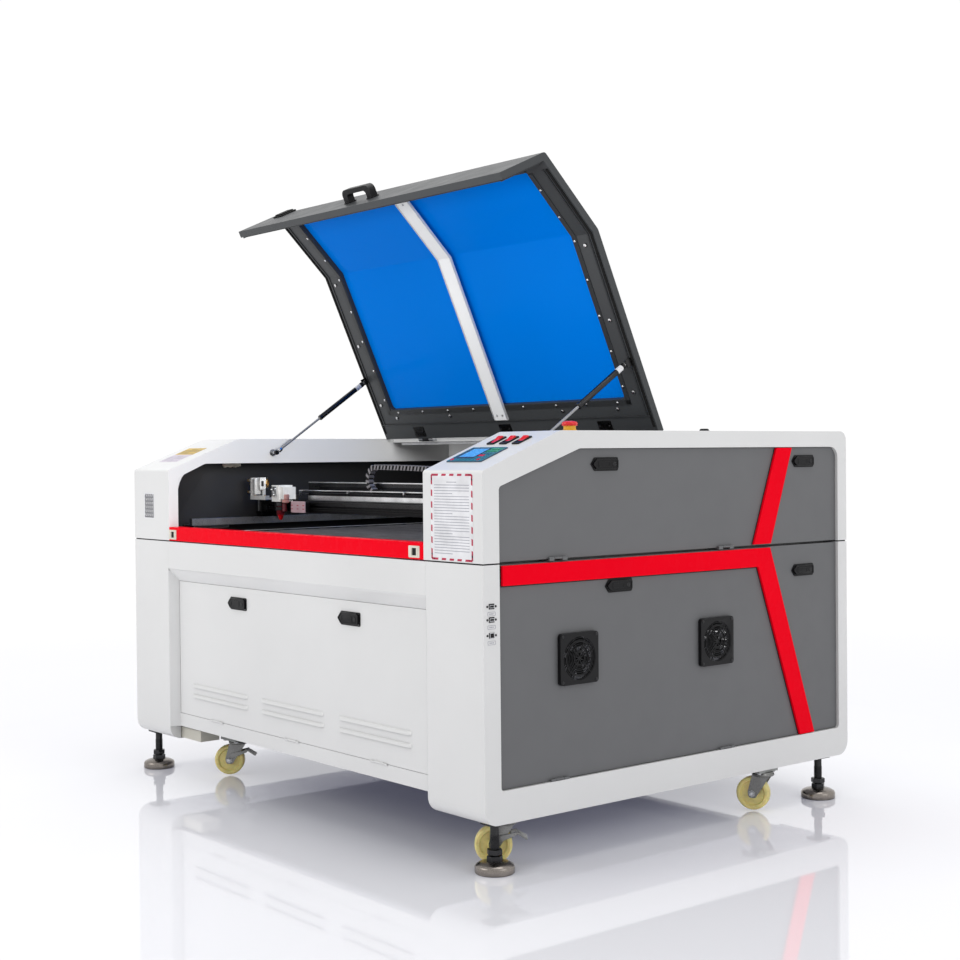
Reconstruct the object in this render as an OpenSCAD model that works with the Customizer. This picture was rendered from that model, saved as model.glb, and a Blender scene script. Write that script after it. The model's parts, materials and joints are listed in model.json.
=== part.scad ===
// Laser engraver: a wide cabinet on levelling feet and casters, with a gull-wing lid over the work area.
// Origin on the floor under the middle of the cabinet. X to the right, Y to the back, Z up. Millimetres.
// The lid is drawn held open on its two gas struts, which is the machine's resting state here.

/* [Cabinet] */
// Width of the cabinet
body_w = 1900; // [1880:10:1940]
// Depth of the cabinet
body_d = 1480; // [1470:10:1500]
// Height of the cabinet's underside above the floor
underside_z = 130; // [128:1:132]
// Height of the seam between the stand and the upper cabinet
seam_z = 800; // [798:1:802]
// Width of the open seam
seam_gap = 4; // [2:1:5]
// Height of the flat top
top_z = 1142; // [1140:1:1146]
// Height of the nose, where the front face turns into the slope
nose_z = 1038; // [1034:1:1040]
// Front to back length of the slope in plan
slope_run = 269; // [265:1:272]
// Width of each side housing above the seam
housing_w = 247; // [245:1:250]
// Width of each side housing below the seam
column_w = 238; // [236:1:240]
// Thickness of the cabinet's sheet metal
sheet = 3; // [2.5:0.5:3]
// Radius of the stand's lower corners, seen from the side
corner_r = 42; // [36:1:44]
// Radius of the top's back corner, seen from the side
rear_r = 28; // [24:1:30]

/* [Side panels] */
// Width of the frame in front of the side panels
stile_front = 55; // [54:1:57]
// Width of the frame behind the side panels
stile_rear = 43; // [42:1:46]
// Height of the frame below the lower side panel
rail_low = 86; // [84:1:90]
// Height of the frame above the upper side panel
rail_top = 48; // [46:1:52]
// Depth of a side panel's face behind the frame's face
panel_inset = 9; // [8:1:10]
// Gap all round a removable panel
panel_gap = 1.5; // [1:0.5:2]

/* [Lid] */
// Angle that the lid stands open
lid_open = 65.4; // [60:0.1:66]
// Thickness of the folded lid frame
lid_t = 22; // [20:1:22]
// Width of the blue window
window_w = 1208; // [1180:1:1210]
// Thickness of the window sheet
window_t = 4; // [3:1:5]
// Width of the bar down the middle of the window
bar_w = 68; // [60:1:72]

/* [Work area] */
// Width of the honeycomb table
table_w = 1300; // [1290:1:1300]
// Depth of the honeycomb table
table_d = 900; // [880:1:900]
// Height of the table's top at rest
table_z = 815; // [810:1:815]
// Left to right place of the laser head
head_x = -545; // [-560:1:-530]
// Front face of the gantry beam
beam_y = -348; // [-352:1:-344]

/* [Floor] */
// Radius of a levelling foot's pad
pad_r = 52.5; // [48:0.5:52.5]
// Radius of a levelling foot's post
post_r = 11.5; // [10:0.5:12]
// Radius of a caster wheel
wheel_r = 50; // [48:1:51]
// Height of the caster wheels above the floor
wheel_lift = 5; // [3:1:6]
// Distance from a caster's swivel axis to its axle
caster_trail = 30; // [28:1:32]

/* [Hidden] */
hx = body_w / 2;
hy = body_d / 2;
inner_x = hx - housing_w;
column_x = hx - column_w;
knee_y = slope_run - hy;
slope_angle = atan2(top_z - nose_z, slope_run);
slack = 1;
run_gap = 0.05;
arc_steps = 8;

panel_y0 = stile_front - hy;
panel_y1 = hy - stile_rear;
panel_z0 = underside_z + rail_low;
panel_z1 = top_z - rail_top;
panel_x = hx - panel_inset;
panel_t = 16;
panel_skin = 3;
lip_depth = 25;
slant_z = nose_z - 41;
slant_y = knee_y + 70;
panel_corner = 10;
panel_hinge_ys = [-480, 180];
panel_hinge_x = hx - 3;
lower_hinge_z = panel_z0 + 3.5;
upper_hinge_z = seam_z + 5.5;
barrel_r = 2.9;
barrel_pin_r = 1.5;

hinge_y = 182.5;
hinge_z = top_z - 4;
hinge_pin_r = 4;
knuckle_r = 8;
hinge_xs = [-480, 0, 480];
lid_hx = inner_x - 3;
lid_back = hinge_y - 10.5;
flap_bottom = seam_z + 53;
window_back = 56;
window_front = 40 - hy;
window_rim = 3;
window_corner = 14;
lid_skin = 2.5;

strut_x = 676;
strut_foot = [-332, 1094];
strut_head = [-65, 1106];
tube_r = 9;
tube_len = 222;
rod_r = 4;
eye_r = 8;
eye_w = 10;
eye_reach = 16;
eye_pin_r = 3.5;

deck_front = 195;
tub_x = 790;
tub_back = 465;
tub_floor = 540;
tub_front = 52 - hy;

beam_entry_x = -714;
recess_d = 30;
fascia_low = seam_z - 92;
door_top = 665;
door_low = 221;
door_hx = 692;
valance_low = 176;
door_hinge_xs = [-450, 0, 450];
door_hinge_y = recess_d - hy - 2.5;
door_hinge_z = door_low - 0.5;
door_barrel_r = 2.3;
door_pin_r = 1.2;

beam_t = 40;
beam_z0 = 888;
beam_z1 = 930;
rail_x = 735;
rail_top_z = 870;
head_y = beam_y - 52;

foot_x = 912;
foot_front = -678;
foot_rear = 640;
frame_z0 = underside_z + 4;
tube = 40;

caster_places = [
    [-601, -542, -129.4],
    [869, -607, -129.4],
    [-601, 373, -129.4],
    [926, 363, -154.5],
];

// Shared geometry

function unit(v) = v / norm(v);

// The interior bisector at corner b between neighbours a and c, scaled to a unit offset of both edges.
function corner_offset(a, b, c) =
    let (u = unit(a - b), v = unit(c - b))
    unit(u + v) / sin(acos(u * v) / 2);

// Outline points are [y, z, corner radius].
function inset(outline, d) =
    let (n = len(outline), p = [for (q = outline) [q[0], q[1]]])
    [for (i = [0 : n - 1])
        let (b = p[i] + d * corner_offset(p[(i + n - 1) % n], p[i], p[(i + 1) % n]))
        [b[0], b[1], outline[i][2] > 0 ? max(outline[i][2] - d, 0.5) : 0]];

function swept(from, to) =
    let (turn = to - from)
    turn > 180 ? turn - 360 : turn < -180 ? turn + 360 : turn;

function arc_corner(a, b, c, r) =
    let (u = unit(a - b), v = unit(c - b), half = acos(u * v) / 2,
        centre = b + unit(u + v) * r / sin(half),
        start = b + u * r / tan(half) - centre,
        end = b + v * r / tan(half) - centre,
        from = atan2(start[1], start[0]),
        sweep = swept(from, atan2(end[1], end[0])))
    [for (k = [0 : arc_steps])
        let (t = from + sweep * k / arc_steps) centre + r * [cos(t), sin(t)]];

function rounded(outline) =
    let (n = len(outline), p = [for (q = outline) [q[0], q[1]]])
    [for (i = [0 : n - 1])
        each outline[i][2] > 0
            ? arc_corner(p[(i + n - 1) % n], p[i], p[(i + 1) % n], outline[i][2])
            : [p[i]]];

// A path [[y, z, radius], ...] moved sideways by d, towards the inside of its bends.
function path_offset(path, d, side) =
    let (n = len(path), p = [for (q = path) [q[0], q[1]]])
    [for (i = [0 : n - 1])
        let (ahead = i < n - 1 ? unit(p[i + 1] - p[i]) : unit(p[i] - p[i - 1]),
            normal = side * [ahead[1], -ahead[0]],
            b = i == 0 || i == n - 1
                ? p[i] + d * normal
                : p[i] + d * corner_offset(p[i - 1], p[i], p[i + 1]))
        [b[0], b[1], path[i][2] > 0 ? max(path[i][2] - d, 0.5) : 0]];

// A sheet that follows a path, between two depths below the path.
module ribbon(path, d0, d1, side = 1) {
    near = path_offset(path, d0, side);
    far = path_offset(path, d1, side);
    n = len(path);
    polygon(rounded(concat(near, [for (i = [n - 1 : -1 : 0]) far[i]])));
}

module along_x(x0, x1) {
    translate([x0, 0, 0]) rotate([90, 0, 90]) linear_extrude(x1 - x0) children();
}

module shape(outline) {
    polygon(rounded(outline));
}

module box(low, high) {
    translate(low) cube(high - low);
}

module both_sides() {
    children();
    mirror([1, 0, 0]) children();
}

module rod_x(x0, x1, y, z, r) {
    translate([x0, y, z]) rotate([0, 90, 0]) cylinder(h = x1 - x0, r = r, $fn = 48);
}

module rod_z(x, y, z0, z1, r, sides = 48) {
    translate([x, y, z0]) cylinder(h = z1 - z0, r = r, $fn = sides);
}

module rod_y(x, z, y0, y1, r, sides = 48) {
    translate([x, y0, z]) rotate([-90, 0, 0]) cylinder(h = y1 - y0, r = r, $fn = sides);
}

// The middle knuckle of a side panel's small hinges, joined to the panel's face.
module panel_knuckles(z) {
    for (y = panel_hinge_ys) {
        rod_y(panel_hinge_x, z, y - 14, y + 14, barrel_r);
        box([panel_x - panel_skin, y - 14, z - 1.9], [panel_hinge_x, y + 14, z + barrel_r]);
    }
}

module panel_knuckle_bores(z) {
    for (y = panel_hinge_ys) rod_y(panel_hinge_x, z, y - 15, y + 15, barrel_pin_r + run_gap);
}

// The pin and outer knuckles of a side panel's hinges, on leaves from x0 outwards between heights z0 and z1.
module panel_pins(z, x0, z0, z1) {
    for (y = panel_hinge_ys) {
        rod_y(panel_hinge_x, z, y - 30, y + 30, barrel_pin_r);
        for (s = [-1, 1]) {
            near = min(y + s * 15, y + s * 32);
            far = max(y + s * 15, y + s * 32);
            rod_y(panel_hinge_x, z, near, far, barrel_r);
            box([x0, near, z0], [panel_hinge_x + 1, far, z1]);
            box([panel_hinge_x - 2.5, near, z0], [panel_hinge_x + 2.5, far, z]);
        }
    }
}

// Cabinet outlines in side view

function stand_outline(d, top) = [
    [d - hy, underside_z + d, corner_r - d],
    [hy - d, underside_z + d, corner_r - d],
    [hy - d, top, 0],
    [d - hy, top, 0],
];

function housing_outline(bottom) = [
    [-hy, bottom, 0],
    [hy, bottom, 0],
    [hy, top_z, rear_r],
    [knee_y, top_z, 30],
    [-hy, nose_z, 10],
];

function lower_opening(d, top) = [
    [panel_y0 - d, panel_z0 - d, panel_corner],
    [panel_y1 + d, panel_z0 - d, panel_corner],
    [panel_y1 + d, top, 0],
    [panel_y0 - d, top, 0],
];

function upper_opening(bottom) = [
    [panel_y0, bottom, 0],
    [panel_y1, bottom, 0],
    [panel_y1, panel_z1, 33],
    [slant_y, panel_z1, 24],
    [panel_y0, slant_z, 12],
];

// Cabinet

seam_low = seam_z - seam_gap / 2;
seam_high = seam_z + seam_gap / 2;

module stand_shell(foot_clear) {
    color("whitesmoke") panel_pins(lower_hinge_z, panel_hinge_x - 2.5, panel_z0 - 2, panel_z0);
    color("whitesmoke") difference() {
        union() {
            difference() {
                along_x(column_x, hx) shape(stand_outline(0, seam_low));
                along_x(column_x - slack, hx - sheet) shape(stand_outline(sheet, seam_z + slack));
            }
            intersection() {
                along_x(column_x, column_x + sheet) shape(stand_outline(0, seam_low));
                union() {
                    box([column_x - slack, -hy - slack, 0], [hx, tube - hy, seam_z]);
                    box([column_x - slack, hy - tube, 0], [hx, hy + slack, seam_z]);
                }
            }
            along_x(hx - lip_depth, hx - sheet / 2) shape(lower_opening(sheet, seam_low));
        }
        along_x(hx - lip_depth - slack, hx + slack) shape(lower_opening(0, seam_z));
        for (y = [foot_front, foot_rear])
            rod_z(foot_x, y, underside_z - slack, underside_z + 2 * sheet, post_r + foot_clear);
    }
}

module left_stand() mirror([1, 0, 0]) stand_shell(3);

module right_stand() stand_shell(3);

arch_front = 35 - hy;
arch_depth = 160;
arch_r = 102;
band_z = 1058;
tub_wall = 2;

module housing_shell() {
    difference() {
        union() {
            difference() {
                along_x(inner_x, hx) shape(housing_outline(seam_high));
                along_x(inner_x + sheet, hx - sheet) shape(inset(housing_outline(seam_z - 10), sheet));
                box([inner_x - slack, tub_back - 0.1, seam_z],
                    [inner_x + sheet, tub_back + tub_wall + 0.1, top_z - sheet]);
                along_x(inner_x - slack, inner_x + 2 * sheet) shape([
                    [arch_front, seam_z, 0],
                    [tub_back, seam_z, 0],
                    [tub_back, band_z, 0],
                    [arch_front + 105, band_z, 40],
                    [arch_front, band_z - 46, 15],
                ]);
            }
            arch_plate();
            intersection() {
                along_x(hx - lip_depth, hx - sheet / 2) shape(inset(upper_opening(seam_z), -sheet));
                along_x(inner_x, hx) shape(housing_outline(seam_high));
            }
        }
        along_x(hx - lip_depth - slack, hx + slack) shape(upper_opening(seam_z));
    }
}

// The sheet behind the inner face's flange, with the big arch that frames the view into the work area.
module arch_plate() {
    difference() {
        intersection() {
            along_x(inner_x + sheet, inner_x + 2 * sheet)
                shape(inset(housing_outline(seam_high - sheet), sheet));
            box([0, -hy, seam_high], [hx, arch_front + arch_depth, top_z]);
        }
        along_x(inner_x, hx) shape([
            [arch_front, seam_z - slack, 0],
            [arch_front + arch_depth + 40, seam_z - slack, 0],
            [arch_front + arch_depth + 40, band_z, 0],
            [arch_front, band_z, arch_r],
        ]);
    }
}

module left_housing() color("whitesmoke") mirror([1, 0, 0]) housing_shell();

stop_x = 820;
stop_y = -317;
stop_base_h = 18;
stem_r = 9;
rocker_xs = [771, 823, 875];
rocker_s = 215;
rocker_r = 20;
rocker_w = 20;

module right_housing() {
    color("whitesmoke")
    difference() {
        housing_shell();
        rod_z(stop_x, stop_y, top_z - 2 * sheet, top_z + slack, stem_r + 2);
        for (x = rocker_xs)
            on_slope(x, rocker_s)
                box([-rocker_w / 2 - 1, -rocker_r - 1, -2 * sheet], [rocker_w / 2 + 1, rocker_r + 1, slack]);
    }
}

// Children are placed on the front slope: +Y up the slope, +Z out of it.
module on_slope(x, s) {
    translate([x, s * cos(slope_angle) - hy, nose_z + s * sin(slope_angle)])
    rotate([slope_angle, 0, 0]) children();
}

module welded_frame() {
    color("dimgray")
    difference() {
        union() {
            both_sides() {
                box([skid_x, frame_y0, frame_z0], [skid_x + tube, frame_y1, frame_z0 + tube]);
                box([post_x, frame_y0, seam_z - 24], [post_x + tube, frame_y1, seam_z + 16]);
                for (y = [frame_y0, frame_y1 - tube])
                    box([post_x, y, frame_z0], [post_x + tube, y + tube, seam_z]);
            }
            box([-skid_x, frame_y0, cross_z], [skid_x, frame_y0 + tube, cross_z + tube]);
            box([-skid_x, frame_y1 - tube, frame_z0], [skid_x, frame_y1, frame_z0 + tube]);
            for (c = [caster_places[0], caster_places[2]])
                box([-skid_x, c[1] - tube / 2, frame_z0],
                    [c[0] + plate_hx, c[1] + tube / 2, frame_z0 + tube]);
            box([-skid_x, frame_y0 - 8, frame_z0], [bracket_x, frame_y0 + 62, frame_z0 + tube - 4]);
            for (c = caster_places) caster_plate(c);
        }
        for (x = [-foot_x, foot_x], y = [foot_front, foot_rear])
            rod_z(x, y, frame_z0 - slack, post_top + 25, post_r + run_gap);
        for (c = caster_places) rod_z(c[0], c[1], 0, plate_z + 7.5, kingpin_r + run_gap);
    }
}

post_x = 863;
post_top = frame_z0 + tube + 20;
skid_x = 892;
frame_y0 = 50 - hy;
frame_y1 = hy - 50;
cross_z = valance_low + 6;
bracket_x = -580;
plate_z = underside_z - 8;
plate_hx = 48;
plate_hy = 42;
kingpin_r = 6;

// A caster's top plate, up against the stand's underside, or against a cross tube between the stands.
module caster_plate(c) {
    top = abs(c[0]) < column_x ? frame_z0 : underside_z;
    box([c[0] - plate_hx, c[1] - plate_hy, plate_z], [min(hx - 2, c[0] + plate_hx), c[1] + plate_hy, top]);
}

module front_fascia() {
    beam = [
        [-hy, seam_low, 0],
        [-hy, fascia_low, 0],
        [recess_d - hy, door_top + 1, 0],
        [recess_d + 10 - hy, door_top + 1, 0],
        [recess_d + 10 - hy, seam_low, 0],
    ];
    half = column_x - 0.5;
    color("whitesmoke") {
        difference() {
            along_x(-half, half) shape(beam);
            along_x(-half - slack, half + slack) shape(inset(beam, sheet));
        }
        both_sides() translate([0, 0, valance_low]) linear_extrude(fascia_low - valance_low - 8)
            polygon([[half, -hy], [half, recess_d + sheet - hy],
                [door_hx + 1, recess_d + sheet - hy], [door_hx + 1, recess_d - hy]]);
        along_x(-half, half) polygon([
            [recess_d - hy, door_low - slack],
            [recess_d - hy, valance_low],
            [recess_d + 25 - hy, valance_low],
            [recess_d + 25 - hy, valance_low + sheet],
            [recess_d + sheet - hy, valance_low + sheet],
            [recess_d + sheet - hy, door_low - slack],
        ]);
        for (x = door_hinge_xs) {
            rod_x(x - 38, x + 38, door_hinge_y, door_hinge_z, door_pin_r);
            for (s = [-1, 1]) {
                near = min(x + s * 21, x + s * 40);
                far = max(x + s * 21, x + s * 40);
                rod_x(near, far, door_hinge_y, door_hinge_z, door_barrel_r);
                box([near, door_hinge_y, door_hinge_z - 4], [far, recess_d + slack - hy, door_hinge_z - 0.5]);
            }
        }
    }
}

module front_sill() {
    color("red") along_x(-inner_x + 0.5, inner_x - 0.5) ribbon([
        [-hy, seam_high, 0], [-hy, seam_z + 47, 2], [40 - hy, seam_z + 47, 0]], 0, sheet);
}

module work_tub() {
    color([0.2, 0.2, 0.22]) difference() {
        intersection() {
            box([-tub_x, tub_front - tub_wall, tub_floor], [tub_x, tub_back + tub_wall, top_z - sheet]);
            along_x(-tub_x - slack, tub_x + slack) shape(inset(housing_outline(tub_floor - 10), sheet));
        }
        box([tub_wall - tub_x, tub_front, tub_floor + tub_wall], [tub_x - tub_wall, tub_back, top_z]);
        box([-tub_x - slack, tub_front - 5, seam_z + 42], [tub_x + slack, arch_front + 20, top_z]);
        rod_y(beam_entry_x, tube_z, tub_back - 5, tub_back + 5, 16);
    }
}

module rear_deck() {
    front_edge = [[deck_front, top_z - 14, 0], [deck_front, top_z, 3]];
    back = [[hy, top_z, rear_r], [hy, seam_high, 0]];
    color("whitesmoke") along_x(0.5 - inner_x, inner_x - 0.5) ribbon(concat(front_edge, back), 0, sheet);
}

duct_r = 75;
duct_z = 560;
slot_x = 440;
slot_hw = 110;
slot_z = 420;
slot_pitch = 24;

module rear_panel() {
    color("whitesmoke") difference() {
        union() {
            box([0.5 - column_x, hy - sheet, frame_z0 + tube + 10], [column_x - 0.5, hy, seam_low]);
            rod_y(0, duct_z, hy - tube, hy, duct_r + sheet, 96);
        }
        rod_y(0, duct_z, hy - tube - slack, hy + slack, duct_r, 96);
        for (x = [-slot_x, slot_x], z = [slot_z : slot_pitch : slot_z + 7 * slot_pitch])
            box([x - slot_hw, hy - 5, z], [x + slot_hw, hy + slack, z + 8]);
    }
}

// Controls

keypad_x = 805;
keypad_s = 111;

module control_panel() {
    color([0.1, 0.25, 0.3]) {
        on_slope(keypad_x, keypad_s) box([-72, -50, 0], [72, 50, 3]);
        for (x = rocker_xs) on_slope(x, rocker_s) difference() {
            box([-14, -26, 0], [14, 26, 3]);
            box([-rocker_w / 2 - 0.5, -rocker_r - 0.5, -slack], [rocker_w / 2 + 0.5, rocker_r + 0.5, 4]);
        }
    }
}

module rocker(x) {
    on_slope(x, rocker_s) color("red") rotate([0, 90, 0]) translate([0, 0, -rocker_w / 2])
        linear_extrude(rocker_w) intersection() {
            circle(r = rocker_r, $fn = 64);
            polygon([[8, -rocker_r], [8, rocker_r], [-10, rocker_r], [-4, 0], [-1, -rocker_r]]);
        }
}

module left_rocker() rocker(rocker_xs[0]);

module middle_rocker() rocker(rocker_xs[1]);

module right_rocker() rocker(rocker_xs[2]);

module stop_base() {
    color("yellow") difference() {
        rod_z(stop_x, stop_y, top_z, top_z + stop_base_h, 17);
        rod_z(stop_x, stop_y, top_z - slack, top_z + stop_base_h + slack, stem_r + run_gap);
    }
}

// The button's skirt stands around the base, so that it can be pressed down.
module stop_button() {
    color("red") {
        rod_z(stop_x, stop_y, top_z - 4, top_z + stop_base_h + 7, stem_r);
        translate([stop_x, stop_y, top_z + stop_base_h]) rotate_extrude($fn = 64)
            polygon([[0, 6.5], [18.5, 6.5], [18.5, -3], [21, -3], [22, -1],
                [22, 5], [20, 8], [13, 10], [0, 10]]);
    }
}

port_zs = [619, 659, 693];

module port_sockets() {
    y = 27 - hy;
    color("silver") for (z = port_zs)
        box([hx, y - 9, z - 7], [hx + 1.5, y + 9, z + 7]);
}

// Lid, drawn shut and then swung open about its hinge

module swung_lid() {
    translate([0, hinge_y, hinge_z]) rotate([-lid_open, 0, 0]) translate([0, -hinge_y, -hinge_z]) children();
}

lid_path = [[-hy, flap_bottom, 0], [-hy, nose_z, 12], [knee_y, top_z, 30], [lid_back, top_z, 0]];

module window_hole(d, z0 = 900) {
    translate([0, 0, z0]) linear_extrude(top_z + 50 - z0) shape([
        [-window_w / 2 - d, window_front - d, window_corner + d],
        [window_w / 2 + d, window_front - d, window_corner + d],
        [window_w / 2 + d, window_back + d, window_corner + d],
        [-window_w / 2 - d, window_back + d, window_corner + d],
    ]);
}

module lid_frame() {
    color([0.27, 0.27, 0.28]) swung_lid() difference() {
        along_x(-lid_hx, lid_hx) ribbon(lid_path, 0, lid_t);
        difference() {
            intersection() {
                along_x(lid_skin - lid_hx, lid_hx - lid_skin) ribbon(lid_path, lid_skin, lid_t - lid_skin);
                box([-hx, 20 - hy, 0], [hx, hy, top_z]);
            }
            difference() {
                intersection() {
                    window_hole(window_rim);
                    along_x(-lid_hx, lid_hx) ribbon(lid_path, lid_skin + window_t + 0.4, lid_t);
                }
                window_hole(0);
            }
        }
        window_hole(0);
    }
}

module lid_window() {
    overlap = 12;
    color([0, 0.43, 0.86]) swung_lid() intersection() {
        along_x(-window_w / 2 - overlap, window_w / 2 + overlap)
            ribbon(lid_path, lid_skin + 0.1, lid_skin + 0.1 + window_t);
        box([-hx, window_front - overlap, 0], [hx, window_back + overlap, top_z]);
    }
}

module lid_centre_bar() {
    color("white") swung_lid() intersection() {
        along_x(-bar_w / 2, bar_w / 2) ribbon(lid_path, lid_t, lid_t + 6);
        box([-hx, window_front - 6, 0], [hx, window_back + 54, top_z]);
    }
}

module lid_handle() {
    outer = [[-134, 1 - hy, 0], [-134, -hy - 44, 20], [13, -hy - 44, 20], [13, 1 - hy, 0]];
    inner = [[-110, 2 - hy, 0], [-110, -hy - 28, 11], [-11, -hy - 28, 11], [-11, 2 - hy, 0]];
    color([0.1, 0.1, 0.1]) swung_lid() intersection() {
        translate([0, 0, 917]) linear_extrude(26) difference() {
            shape(outer);
            shape(inner);
        }
        box([-hx, -hy - 60, 0], [hx, -hy, top_z]);
    }
}

lid_screw_ys = [-435, -199, 35];
lid_screw_xs = [-582, -271, 310, 560];

module lid_screws() {
    under = top_z - lid_t;
    color("silver") swung_lid() {
        for (x = [-651, 651], y = lid_screw_ys) rod_z(x, y, under - 3, under, 6);
        for (x = lid_screw_xs) rod_z(x, 88, under - 3, under, 6);
    }
}

// Moving hinge leaves and the brackets that hold the struts' upper pins.
module lid_pivots() {
    color([0.15, 0.15, 0.15]) swung_lid() for (x = hinge_xs) difference() {
        union() {
            rod_x(x - 18, x + 18, hinge_y, hinge_z, knuckle_r);
            box([x - 18, lid_back, hinge_z - 7], [x + 18, hinge_y, hinge_z - 1]);
        }
        rod_x(x - 20, x + 20, hinge_y, hinge_z, hinge_pin_r + run_gap);
    }
    color([0.15, 0.15, 0.15]) swung_lid() both_sides() {
        box([strut_x + eye_w / 2 + 1, strut_head[0] - 12, strut_head[1] - 10],
            [strut_x + eye_w / 2 + 5, strut_head[0] + 12, top_z - lid_t]);
        rod_x(strut_x - eye_w / 2 - 2, strut_x + eye_w / 2 + 2, strut_head[0], strut_head[1], eye_pin_r);
    }
}

// Hinge pins in their fixed knuckles, the two studs for the lower ends of the gas struts, and the pins of
// the upper side panels' hinges, whose leaves reach out through the seam from the frame.
module fixed_pivots() {
    color("gray") {
        for (x = hinge_xs) {
            rod_x(x - 42, x + 42, hinge_y, hinge_z, hinge_pin_r);
            for (s = [-1, 1]) {
                rod_x(min(x + s * 19, x + s * 42), max(x + s * 19, x + s * 42), hinge_y, hinge_z, knuckle_r);
                box([min(x + s * 19, x + s * 42), hinge_y, hinge_z - 6],
                    [max(x + s * 19, x + s * 42), deck_front, hinge_z]);
            }
        }
        both_sides() panel_pins(upper_hinge_z, post_x + tube, seam_z - 1.4, seam_z + 1.6);
        both_sides() {
            rod_x(strut_x + eye_w / 2 + 1, inner_x, strut_foot[0], strut_foot[1], 6);
            rod_x(inner_x - 3, inner_x, strut_foot[0], strut_foot[1], 12);
        }
    }
}

// Gas struts. The head pivot rides on the lid, the foot pivot is on the housing's inner wall.

function swing(p) =
    let (y = p[0] - hinge_y, z = p[1] - hinge_z)
    [hinge_y + y * cos(lid_open) + z * sin(lid_open), hinge_z - y * sin(lid_open) + z * cos(lid_open)];

head_open = swing(strut_head);
strut_len = norm(head_open - strut_foot);
strut_pitch = atan2(head_open[1] - strut_foot[1], head_open[0] - strut_foot[0]);

// Children are drawn with +Z along the strut, from the foot pivot.
module on_strut() {
    translate([strut_x, strut_foot[0], strut_foot[1]]) rotate([strut_pitch - 90, 0, 0]) children();
}

module strut_tube() {
    mouth = strut_len - eye_reach - tube_len;
    color([0.1, 0.1, 0.1]) difference() {
        union() {
            on_strut() {
                translate([0, 0, mouth]) cylinder(h = tube_len, r = tube_r, $fn = 48);
                translate([0, 0, strut_len - eye_reach - slack]) cylinder(h = eye_reach, r = 5, $fn = 48);
            }
            rod_x(strut_x - eye_w / 2, strut_x + eye_w / 2, head_open[0], head_open[1], eye_r);
        }
        on_strut() {
            translate([0, 0, mouth - slack]) cylinder(h = 13, r = rod_r + run_gap, $fn = 48);
            translate([0, 0, mouth + 10]) cylinder(h = tube_len - 14, r = tube_r - 1.5, $fn = 48);
        }
        rod_x(strut_x - eye_w / 2 - slack, strut_x + eye_w / 2 + slack, head_open[0], head_open[1],
            eye_pin_r + run_gap);
    }
}

module strut_rod() {
    mouth = strut_len - eye_reach - tube_len;
    piston_r = tube_r - 1.5 - run_gap;
    color("silver") {
        on_strut() {
            translate([0, 0, 5]) cylinder(h = mouth + 18, r = rod_r, $fn = 48);
            translate([0, 0, mouth + 14]) cylinder(h = 9, r = piston_r, $fn = 48);
            translate([0, 0, 5]) cylinder(h = eye_reach - 4, r = 6, $fn = 32);
        }
        rod_x(strut_x - eye_w / 2, strut_x + eye_w / 2, strut_foot[0], strut_foot[1], eye_r);
    }
}

module right_strut_tube() strut_tube();

module left_strut_tube() mirror([1, 0, 0]) strut_tube();

module right_strut_rod() strut_rod();

module left_strut_rod() mirror([1, 0, 0]) strut_rod();

// Front door

door_y = recess_d - hy;
latch_z = 614;
latch_xs = [-311, 311];
louvre_groups = [[-605, -256], [-173, 173], [254, 603]];

module front_door() {
    color("whitesmoke") difference() {
        union() {
            along_x(panel_gap - door_hx, door_hx - panel_gap) shape([
                [door_y, door_low, 1], [door_y + panel_t, door_low, 0],
                [door_y + panel_t, door_top, 0], [door_y, door_top, 1]]);
            for (x = door_hinge_xs) {
                rod_x(x - 20, x + 20, door_hinge_y, door_hinge_z, door_barrel_r);
                box([x - 20, door_hinge_y, door_hinge_z], [x + 20, door_y + slack, door_low + sheet]);
            }
        }
        for (x = door_hinge_xs) rod_x(x - 21, x + 21, door_hinge_y, door_hinge_z, door_pin_r + run_gap);
        box([sheet + panel_gap - door_hx, door_y + panel_skin, door_low + sheet],
            [door_hx - sheet - panel_gap, door_y + panel_t + slack, door_top - sheet]);
        for (g = louvre_groups, z = [287, 321])
            box([g[0] + 6, door_y - slack, z - 3], [g[1] - 6, door_y + 5, z + 3]);
    }
}

// One paddle: an arrow-ended plate, drawn in [u, v] with its point on the left.
module paddle(length, height) {
    polygon(rounded([
        [-length / 2, 0, 4], [-length / 2 + 14, -height / 2, 6], [length / 2, -height / 2, 5],
        [length / 2, height / 2, 5], [-length / 2 + 14, height / 2, 6],
    ]));
}

module front_door_latches() {
    color([0.08, 0.08, 0.08]) for (x = latch_xs)
        union() {
            translate([x, door_y - 0.2, latch_z]) rotate([90, 0, 0]) linear_extrude(7) paddle(100, 30);
            rod_x(x - 32, x + 42, door_y - 4, latch_z + 15, 3);
        }
}

// Side panels

module side_paddles(ys, z) {
    color([0.08, 0.08, 0.08]) for (y = ys)
        union() {
            along_x(panel_x + 0.2, panel_x + 7) translate([y, z]) paddle(94, 27);
            rod_y(panel_x + 3, z + 13, y - 30, y + 38, 2.6);
        }
}

module lower_panel(side) {
    g = panel_gap;
    color([0.4, 0.4, 0.42]) difference() {
        union() {
            difference() {
                along_x(panel_x - panel_t, panel_x) shape(lower_opening(-g, seam_low - g));
                along_x(panel_x - panel_t - slack, panel_x - panel_skin)
                    shape(lower_opening(-g - sheet, seam_low - g - sheet));
            }
            panel_knuckles(lower_hinge_z);
        }
        panel_knuckle_bores(lower_hinge_z);
        if (side > 0) for (y = fan_ys) rod_x(panel_x - 5, panel_x + slack, y, fan_z, fan_r);
    }
}

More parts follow.
